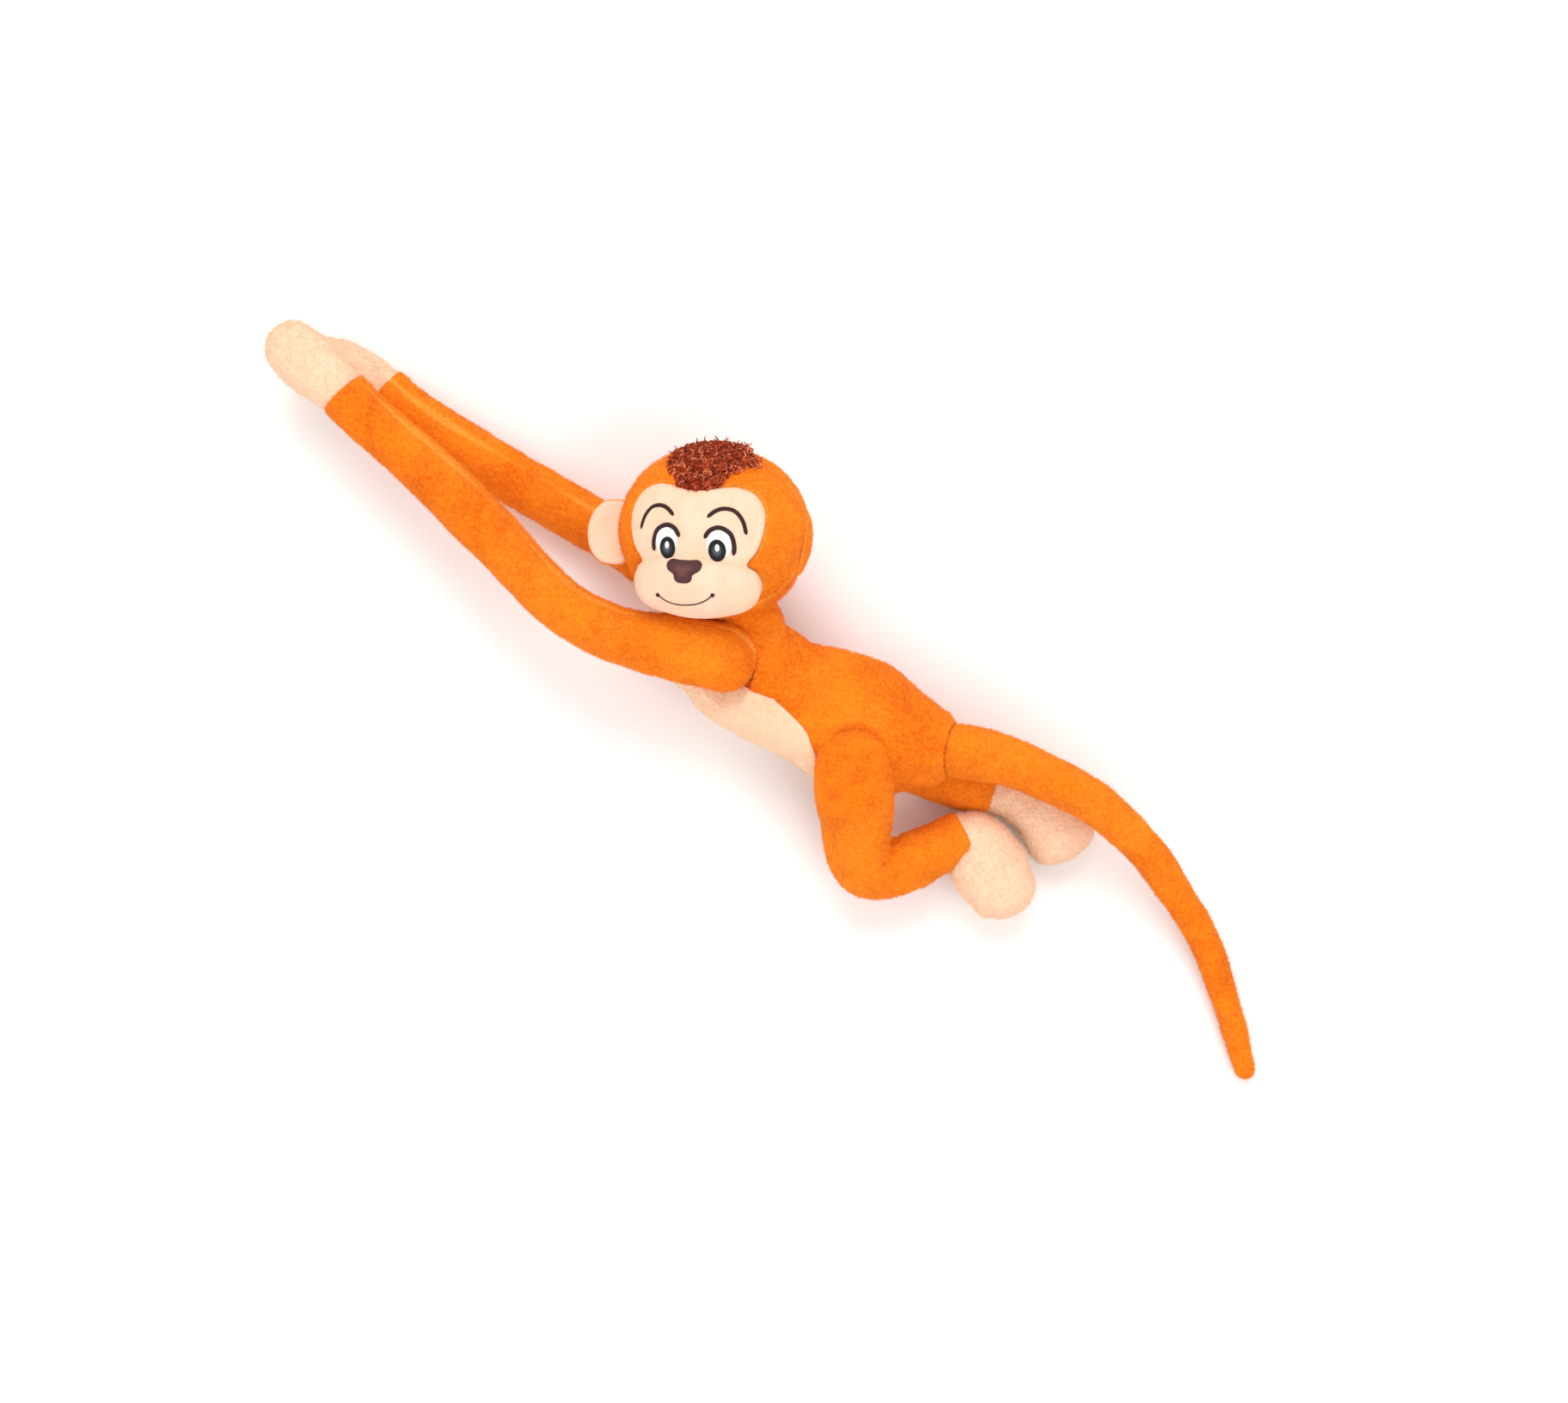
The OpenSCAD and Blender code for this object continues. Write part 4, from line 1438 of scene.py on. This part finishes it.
@dataclass
class Trunk:
    """The body's cover, the cream panel down its front, and the neck."""

    wardrobe: Wardrobe
    stations: Stations = (
        (-43, -14.5, 37, 19.5, 12), (-33, -12.5, 37, 24.8, 16.5), (-20, -11.7, 37, 28.2, 20),
        (-7, -11.2, 37, 28.3, 21),
        (8, -11, 37, 27.5, 21), (26, -8, 37.5, 30, 23), (46, -7, 38, 33, 25), (64, -4, 38, 28, 23),
        (82, 1, 38, 19, 17),
    )  # fmt: skip
    limbs: tuple[Limb, ...] = (
        Limb((-30, -12, 62), (16.4, 11.0), (185, 290), 1),
        Limb((-30, -8, 11.5), (16.5, 11.3), (165, 290), -1),
        Limb((44, -15, 15), (17.5, 14.3), (0, 60), -1),
    )
    hip: tuple[float, float, float] = (52, -25, 54)
    hip_radii: tuple[float, float] = (19, 14)
    tail: tuple[float, float, float] = (93, 6, 41.5)
    tail_radius: float = 13.6
    panel_columns: int = 90
    panel_half: tuple[tuple[float, float], ...] = (
        (-48, 88), (-38, 80), (-24, 74), (-10, 75), (2, 78), (10.5, 72), (20, 63), (27, 52), (34, 40),
        (40, 25), (46, 8),
    )  # fmt: skip

    def hip_valley(self, p: Array) -> Array:
        """Greatest height of the trunk near the left hip.

        Out to 17.2 mm from the joint it lies just under the thigh's dome, z + flat x sqrt(1 - (d / r)^2),
        and beyond it climbs away steeply.

        Args:
            p: points.

        Returns:
            The height allowed at each point, in millimetres.
        """
        d = np.linalg.norm(p[:, :2] - np.array(self.hip[:2]), axis=1)
        share = np.minimum(d, 17.2) / self.hip_radii[0]
        dome = self.hip[2] + self.hip_radii[1] * np.sqrt(np.clip(1 - share**2, 0, 1))
        beyond = np.clip(d - 17.2, 0, None)
        return dome - 0.6 + beyond * 1.1 + 0.02 * beyond**2

    def cover(self) -> None:
        """The orange cover, pressed where limbs and tail are sewn on, with soft folds at the waist."""
        sweep = Sweep(self.stations, start_cap=12, end_cap=12, around=240)
        shell = sweep.shell()
        shell.displaced(stuffing(0.9, 0.25))
        p = shell.points
        waist = 0.8 * np.exp(-(((p[:, 0] - 12 - 0.25 * p[:, 1]) / 5) ** 2)) * smooth(48, 60, p[:, 2])
        reach = p[:, :2] - np.array(self.limbs[0].joint[:2])
        near = np.linalg.norm(reach, axis=1)
        toward = unit(reach) @ np.array([0.8, 0.6])
        mound = 5.5 * np.exp(-((np.clip(near - 15, 0, None) / 13) ** 2)) * smooth(-0.55, 0.1, toward)
        shell.points[:, 2] += mound * smooth(40, 52, p[:, 2]) * smooth(-21, -13, p[:, 1])
        fold = 0.7 * np.exp(-(((p[:, 0] - 22 + 0.35 * p[:, 1]) / 3.5) ** 2)) * smooth(-4, -14, p[:, 1])
        shell.displaced(lambda points, normals: -waist - fold)
        deeper = 0.5 + 1.4 * smooth(-13, -19, p[:, 1])
        for limb in self.limbs:
            press_limb(shell, limb.joint, limb.radii, limb.sector, limb.side, deeper)
        shell.points[:, 2] = np.minimum(shell.points[:, 2], self.hip_valley(shell.points))
        press_ball(shell, self.tail, self.tail_radius)
        shell.with_fibres(Pile(), None, 21)
        piece = self.wardrobe.dress("torso_cover", shell, ORANGE, ["torso_cover"])
        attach(piece, "torso")

    def panel(self) -> None:
        """The cream panel: a strip of the trunk's own surface, raised, between its two seams."""
        sweep = Sweep(self.stations, start_cap=12, end_cap=12, around=240)
        points, _, _ = sweep.grid()
        normals = grid_normals(points)
        centre = points.mean(axis=1)
        middle = centre[:, 0]
        x, half = np.array(self.panel_half, float).T
        steps = np.linspace(-1, 1, self.panel_columns)
        rows = np.arange(len(middle))
        keep = (middle > -48.5) & (middle < 45)
        rows = rows[keep]
        spread = np.interp(middle[keep], x, half)
        angle = 180 + spread[:, None] * steps[None]
        column = angle / 360 * points.shape[1]
        low = np.floor(column).astype(int)
        part = (column - low)[..., None]

        def pick(a: Array) -> Array:
            """The trunk's values between its columns, by linear interpolation."""
            row, around = rows[:, None], a.shape[1]
            return a[row, low % around] * (1 - part) + a[row, (low + 1) % around] * part

        on, out = pick(points), unit(pick(normals))
        rim = np.sqrt(np.clip(1 - (np.clip(np.abs(steps) - 0.93, 0, None) / 0.07) ** 2, 0, 1))
        flat = on.reshape(-1, 3)
        lumps = stuffing(0.9, 0.0)(flat, flat).reshape(on.shape[:2])
        thick = 1.5 - 0.9 * smooth(28, 38, middle[keep])[:, None]
        tufts = 0.12 * noise(flat, 1.6, 22).reshape(on.shape[:2])
        top = on + out * (lumps + thick * rim[None] + tufts)[..., None]
        under = (on + out * (lumps - 0.5)[..., None])[:, ::-1]
        grid = np.concatenate([top, under], axis=1)
        edge = np.concatenate([np.abs(steps), np.abs(steps)])
        # The seam value lightens the panel's sewn edges: a painted highlight.
        sewn = np.tile(smooth(0.95, 1, edge), (len(rows), 1))
        shell = shell_of(grid, {"seam": sewn, "tip": np.zeros(grid.shape[:2])})
        below = np.concatenate([np.tile(np.repeat([0.0, 1.9], self.panel_columns), len(rows)), [1.0, 1.0]])
        for limb in self.limbs:
            press_limb(shell, limb.joint, limb.radii, limb.sector, limb.side, below)
        shell.points[:, 2] = np.minimum(shell.points[:, 2], self.hip_valley(shell.points) - 0.3)
        shell.with_fibres(Pile(length=0.9), None, 22)
        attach(self.wardrobe.dress("belly_panel", shell, CREAM, ["belly_panel"]), "torso")

    def neck(self) -> None:
        """The neck: a short stuffed tube between trunk and head, and the ball of filling inside it."""
        stations = (
            (-10, -10, 41, 22, 16), (-19, -1, 44, 18.8, 16), (-29, 9, 47, 17.6, 16), (-41, 19, 50, 17, 15.5),
        )  # fmt: skip
        shell = Sweep(stations, start_cap=9, end_cap=9, around=140).shell().displaced(stuffing(0.5))
        shell.with_fibres(Pile(), None, 23)
        piece = self.wardrobe.dress("neck_cover", shell, ORANGE)
        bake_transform(piece)
        filling = ball(np.array([-26.0, 10.0, 44.0]), 5.3, 24)
        filling.values["edge"] = np.zeros(len(filling.points))
        filling.displaced(lambda p, n: 0.2 * noise(p, 1.5, 24))
        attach(self.wardrobe.dress("neck_filling", filling, FILLING, ["neck_filling"]), "neck")

    def build(self) -> None:
        """Builds the trunk's pieces."""
        self.cover()
        self.panel()
        self.neck()


# ---- Limbs and tail


@dataclass
class Segment:
    """One stuffed piece of a limb or of the tail."""

    name: str
    stations: Stations
    nodes: tuple[str, ...]
    bodies: tuple[str, ...]
    finish: Plush = ORANGE
    end: End = End.DOME
    start_cap: float = 12.0
    end_cap: float = 12.0
    seam: float | None = None
    bend: tuple[Sequence[float], Sequence[float]] | None = None
    creases: tuple[tuple[float, float, float, float], ...] = ()
    lumps: float = 0.5
    fibre: float = 1.3
    fill: float = 0.75

    def relief(self, p: Array, n: Array) -> Array:
        """Stuffing, less the creases.

        A crease lowers the skin by depth x exp(-(d / width)^2) x (0.7 + 0.6 sin(1.6 d)) at the distance d
        from its place (x, y).

        Args:
            p: points.
            n: their normals.

        Returns:
            Heights in millimetres.
        """
        h = stuffing(self.lumps)(p, n)
        for x, y, width, depth in self.creases:
            d = np.linalg.norm(p[:, :2] - np.array([x, y]), axis=1)
            h = h - depth * np.exp(-((d / width) ** 2)) * (0.7 + 0.6 * np.sin(d * 1.6))
        return h

    def build(self, wardrobe: Wardrobe) -> bpy.types.Object:
        """Builds the piece and fastens it to its body, or, where it has a bend, leaves it unfastened in the
        shared frame.

        Args:
            wardrobe: dresses the piece.

        Returns:
            The object.
        """
        sweep = Sweep(self.stations, self.end, self.start_cap, self.end_cap)
        shell = sweep.shell(self.seam)
        shell.displaced(self.relief)
        seam = shell.values["seam"]
        shell.displaced(lambda p, n: -0.8 * seam)
        shell.with_fibres(Pile(length=self.fibre), None, 40 + len(self.name))
        piece = wardrobe.dress(self.name, shell, self.finish, self.nodes)
        if self.bend is None:
            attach(piece, self.bodies[0])
        else:
            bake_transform(piece)
        return piece


LEFT_ARM = Segment(
    "left_arm_cover",
    (
        (-30, -12, 62, 17, 11), (-54, -20, 61.5, 16, 12.5), (-70, -25.5, 58.5, 14.2, 13.5),
        (-86, -29, 56, 13.5, 13.3),
        (-110, -29, 53, 13, 13), (-130, -24.5, 50.5, 13, 13), (-154, -17, 48, 13.3, 13),
        (-176, -11, 45.5, 13.6, 13),
        (-200, -5, 43, 13, 12.5), (-222, -0.5, 41, 12.7, 12), (-242, 3.5, 39.8, 12.5, 11.9),
        (-255, 7.2, 39.2, 12.6, 12),
    ),
    ("left_upper_arm", "left_forearm"),
    ("left_upper_arm", "left_forearm"),
    end=End.SOCKET,
    start_cap=17,
    seam=146,
    bend=((-97, -29, 54), (-123, -26, 51)),
    creases=((-112, -14, 9, 0.5),),
)  # fmt: skip

RIGHT_ARM = Segment(
    "right_arm_cover",
    (
        (-30, -8, 11.8, 16, 11), (-48, 1.5, 12.2, 15, 11.5), (-68, 8.5, 12.8, 13.8, 12.3),
        (-90, 12, 13, 13, 12.6),
        (-110, 13, 13, 13, 12.6), (-140, 13, 13, 13, 12.6), (-176, 13.2, 13, 13, 12.6),
        (-205, 14, 13, 12.8, 12.4),
        (-228, 16, 12.6, 12.5, 12.1), (-241.5, 18.7, 12.2, 12.5, 11.9),
    ),
    ("right_upper_arm", "right_forearm"),
    ("right_upper_arm", "right_forearm"),
    end=End.SOCKET,
    start_cap=16,
    seam=122,
    bend=((-97, 12.5, 13), (-123, 13, 13)),
)  # fmt: skip

LEFT_LEG = Segment(
    "left_leg_cover",
    (
        (52, -25, 54, 19, 14), (60, -38, 50.5, 19, 14.5), (68.5, -50, 42, 17.5, 15),
        (74.5, -59, 36, 16.2, 15.3),
        (81.5, -65.5, 31, 15.3, 15.4), (91, -63, 27, 14.6, 14.6), (100, -53.5, 24.5, 14.2, 14),
        (108, -42, 22.6, 13, 13.2),
        (116.8, -28.5, 22, 12.4, 12.6),
    ),
    ("left_thigh", "left_shin"),
    ("left_thigh", "left_shin"),
    end=End.SOCKET,
    start_cap=17,
    bend=((76, -54, 38), (92, -62, 27)),
    creases=((84, -46, 9, 1.1), (74, -80, 8, 0.4)),
    lumps=0.7,
)  # fmt: skip

RIGHT_LEG = Segment(
    "right_leg_cover",
    (
        (44, -15, 15, 17, 14), (58, -13.5, 15, 16, 13.8), (70, -11.5, 14.5, 14.8, 13.7),
        (82, -10, 14, 13.8, 13.5),
        (96, -8, 13.7, 13.5, 13.2), (108, -5.5, 13.5, 13, 12.9), (118, -2.8, 13.5, 12.8, 12.8),
    ),
    ("right_thigh", "right_shin"),
    ("right_thigh", "right_shin"),
    end=End.SOCKET,
    start_cap=16,
    bend=((72, -12, 14), (92, -9, 14)),
)  # fmt: skip

LEFT_HAND = Segment(
    "left_hand_cover",
    (
        (-256, 7.5, 39.2, 11.2, 10.9), (-268, 9.5, 39.2, 13.3, 11.2),
        (-280, 11.8, 39.2, 14.8, 11.2), (-289, 13.7, 39.2, 13.7, 10.6),
    ),
    ("left_hand",),
    ("left_hand",),
    CREAM,
    start_cap=10.8,
    end_cap=13,
    fibre=1.7,
)

RIGHT_HAND = Segment(
    "right_hand_cover",
    (
        (-243, 19, 11.9, 11.2, 10.9), (-256, 18.5, 11.9, 13.3, 11.2), (-267, 17, 11.9, 14.3, 11.2),
        (-275, 16, 11.9, 13.2, 10.6),
    ),
    ("right_hand",),
    ("right_hand",),
    CREAM,
    start_cap=10.8,
    end_cap=12,
    fibre=1.7,
)

LEFT_FOOT = Segment(
    "left_foot_cover",
    (
        (116, -29.5, 22, 11.2, 11.2), (124, -28, 21.4, 15, 12.3), (135, -35, 21.2, 19, 13.2),
        (147.5, -42.5, 21, 17, 12.3),
    ),
    ("left_foot",),
    ("left_foot",),
    CREAM,
    start_cap=10.8,
    end_cap=13.5,
    fibre=1.7,
)

RIGHT_FOOT = Segment(
    "right_foot_cover",
    (
        (119, -2.5, 13.5, 11.2, 11.2), (130, 1.2, 13, 12.8, 12), (145, 2.2, 13, 16.4, 12.2),
        (159.5, -3.8, 13, 18.6, 12.2),
    ),
    ("right_foot",),
    ("right_foot",),
    CREAM,
    start_cap=10.8,
    end_cap=13,
    fibre=1.7,
)

TAIL = (
    (93, 6, 41.5, 13, 12.9), (106, 11, 41.5, 12.8, 12), (120, 14.5, 41, 11.8, 11.5),
    (136, 16.5, 40, 11.3, 11.3),
    (152, 17.4, 39.4, 10.8, 10.6), (168, 17, 38, 10.3, 10.2), (190, 12.5, 33, 9.4, 9.4),
    (206, 7, 28, 8.9, 8.9),
    (222, -0.5, 21.5, 8.4, 8.4), (240, -9.5, 15, 7.7, 7.7), (255, -19.5, 10, 7.3, 7.3),
    (270, -32.5, 7.6, 6.7, 6.7),
    (284, -45.5, 6.6, 6, 6), (297.5, -59, 5.6, 5, 5),
)  # fmt: skip


@dataclass
class Tail:
    """The tail: one smooth sweep, cut across its segments into three pieces."""

    wardrobe: Wardrobe
    stations: Stations = TAIL
    cuts: tuple[float, float] = (161.0, 215.0)
    seam: float = 285.0
    around: int = 80

    def build(self) -> None:
        """Builds the three pieces over one shared grid, so that neighbours meet in the same ring."""
        whole = Sweep(self.stations, start_cap=12.5, end_cap=6, around=self.around)
        shell = whole.shell(self.seam)
        shell.displaced(stuffing(0.45))
        seam = shell.values["seam"]
        shell.displaced(lambda p, n: -0.7 * seam)
        grid = shell.points[:-2].reshape(-1, self.around, 3)
        lines = seam[:-2].reshape(-1, self.around)
        x = grid.mean(axis=1)[:, 0]
        first, second = (int(np.abs(x - cut).argmin()) for cut in self.cuts)
        parts = (
            ("tail_cover_upper", 0, first, ("tail_root", "tail_middle")),
            ("tail_cover_lower", first, second, ("tail_lower",)),
            ("tail_cover_tip", second, len(grid) - 1, ("tail_tip",)),
        )
        bends = (
            ((127, 15.5, 40.5), (145, 17, 39.7)), ((181, 14.8, 35), (199, 9.5, 30.5)),
            ((232, -5, 18), (248, -14, 12.5)),
        )  # fmt: skip
        bodies = (("tail_root", "tail_middle"), ("tail_middle", "tail_lower"), ("tail_lower", "tail_tip"))
        for (name, low, high, nodes), bend, pair in zip(parts, bends, bodies):
            rows = grid[low : high + 1]
            part = shell_of(rows, {"seam": lines[low : high + 1], "tip": np.zeros(rows.shape[:2])})
            part.with_fibres(Pile(), None, 60 + low)
            piece = self.wardrobe.dress(name, part, ORANGE, nodes)
            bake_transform(piece)


@dataclass
class PalmPads:
    """The fastening pads where the palms meet: hooks above, loops below."""

    wardrobe: Wardrobe
    centre: tuple[float, float] = (-267.0, 12.0)
    side: float = 14.0
    thick: float = 0.9
    turn: float = -10.0

    def pad(self, name: str, body: str, base: float, down: int) -> None:
        """One pad with a sewn rim and rows of tiny bumps.

        Args:
            name: the piece's name and its CAD node.
            body: the hand it is sewn to.
            base: height of its sewn side in millimetres.
            down: -1 for a pad that faces down, 1 for one that faces up.
        """
        a = math.radians(self.turn)
        h = self.side / 2
        r = 1.2
        corner = [(h - r + r * math.cos(t), h - r + r * math.sin(t)) for t in np.radians([0, 30, 60, 90])]
        square = corner + [(-y, x) for x, y in corner]
        square += [(-x, -y) for x, y in square]

        def place(xy: Array, lift: Array) -> Array:
            """The pad's point, turned about its centre.

            Args:
                xy: coordinates from the centre in millimetres.
                lift: heights over the sewn side.

            Returns:
                Points in the shared frame.
            """
            x = self.centre[0] + math.cos(a) * xy[:, 0] - math.sin(a) * xy[:, 1]
            y = self.centre[1] + math.sin(a) * xy[:, 0] + math.cos(a) * xy[:, 1]
            return np.stack([x, y, base + down * lift], axis=1)

        def bumps(xy: Array) -> Array:
            """Height of the hooks or loops: the product of two sine waves, 1.2 mm long."""
            return -0.12 + 0.12 * np.sin(xy[:, 0] * 5.2) * np.sin(xy[:, 1] * 5.2)

        shell = patch(square, place, self.thick, 0.0, 0.0, rings=44, around=200, relief=bumps)
        shell.values["shade"] = smooth(0.8, 0.9, shell.values["edge"]) * 0.5
        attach(self.wardrobe.dress(name, shell, TAPE, [name]), body)

    def build(self) -> None:
        """Builds both pads."""
        self.pad("left_palm_hooks", "left_hand", 26.7 + self.thick, -1)
        self.pad("right_palm_loops", "right_hand", 24.4 - self.thick, 1)


# ---- Studio


@dataclass
class Studio:
    """A pale floor, soft lamps and a camera that looks straight down on the toy."""

    aim: tuple[float, float] = (0.0071, -0.0156)
    roll: float = 30.0
    height: float = 2.05
    lens: float = 94.0

    def floor(self) -> None:
        """A matt, nearly white sheet under the toy, with a faint mottle."""
        mesh = bpy.data.meshes.new("floor")
        s = 6.0
        mesh.from_pydata([(-s, -s, 0), (s, -s, 0), (s, s, 0), (-s, s, 0)], [], [(0, 1, 2, 3)])
        g = Graph("floor_paper")
        colour = g.mix(g.noise(400, 2), (0.93, 0.93, 0.93, 1), (0.97, 0.97, 0.97, 1))
        mesh.materials.append(g.finish(Base_Color=colour, Roughness=0.95, Specular_IOR_Level=0.1))
        obj = bpy.data.objects.new("floor", mesh)
        bpy.context.scene.collection.objects.link(obj)

    def lamp(self, name: str, place: Sequence[float], size: float, watts: float) -> None:
        """A square area lamp that looks at the toy.

        Args:
            name: its name.
            place: its place in metres.
            size: its side in metres.
            watts: its power.
        """
        data = bpy.data.lights.new(name, "AREA")
        data.size, data.energy = size, watts
        lamp = bpy.data.objects.new(name, data)
        lamp.location = place
        look = Vector((self.aim[0], self.aim[1], 0.04)) - Vector(place)
        lamp.rotation_euler = look.to_track_quat("-Z", "Y").to_euler()
        bpy.context.scene.collection.objects.link(lamp)

    def build(self) -> None:
        """Builds floor, lamps, world and camera."""
        self.floor()
        self.lamp("key", (-0.9, 1.5, 2.2), 1.6, 36)
        self.lamp("fill", (1.6, -0.6, 1.9), 1.8, 20)
        self.lamp("low", (-1.2, -1.4, 1.2), 1.4, 9)
        scene = bpy.context.scene
        world = bpy.data.worlds.new("studio")
        world.use_nodes = True
        world.node_tree.nodes["Background"].inputs["Color"].default_value = (1, 0.99, 0.98, 1)
        world.node_tree.nodes["Background"].inputs["Strength"].default_value = 0.75
        scene.world = world
        data = bpy.data.cameras.new("camera")
        data.lens, data.sensor_width = self.lens, 36
        camera = bpy.data.objects.new("camera", data)
        camera.location = (*self.aim, self.height)
        camera.rotation_euler = (0, 0, math.radians(self.roll))
        scene.collection.objects.link(camera)
        scene.camera = camera
        scene.view_settings.view_transform = "Standard"


def main() -> None:
    """Builds the toy's pieces in order, then the studio."""
    logging.basicConfig(level=logging.INFO, format="%(message)s")
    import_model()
    wardrobe = Wardrobe()
    Trunk(wardrobe).build()
    Head(Skull(), wardrobe).build()
    for segment in (LEFT_ARM, RIGHT_ARM, LEFT_LEG, RIGHT_LEG, LEFT_HAND, RIGHT_HAND, LEFT_FOOT, RIGHT_FOOT):
        segment.build(wardrobe)
    Tail(wardrobe).build()
    PalmPads(wardrobe).build()
    Studio().build()
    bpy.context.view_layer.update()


if __name__ == "__main__":
    main()
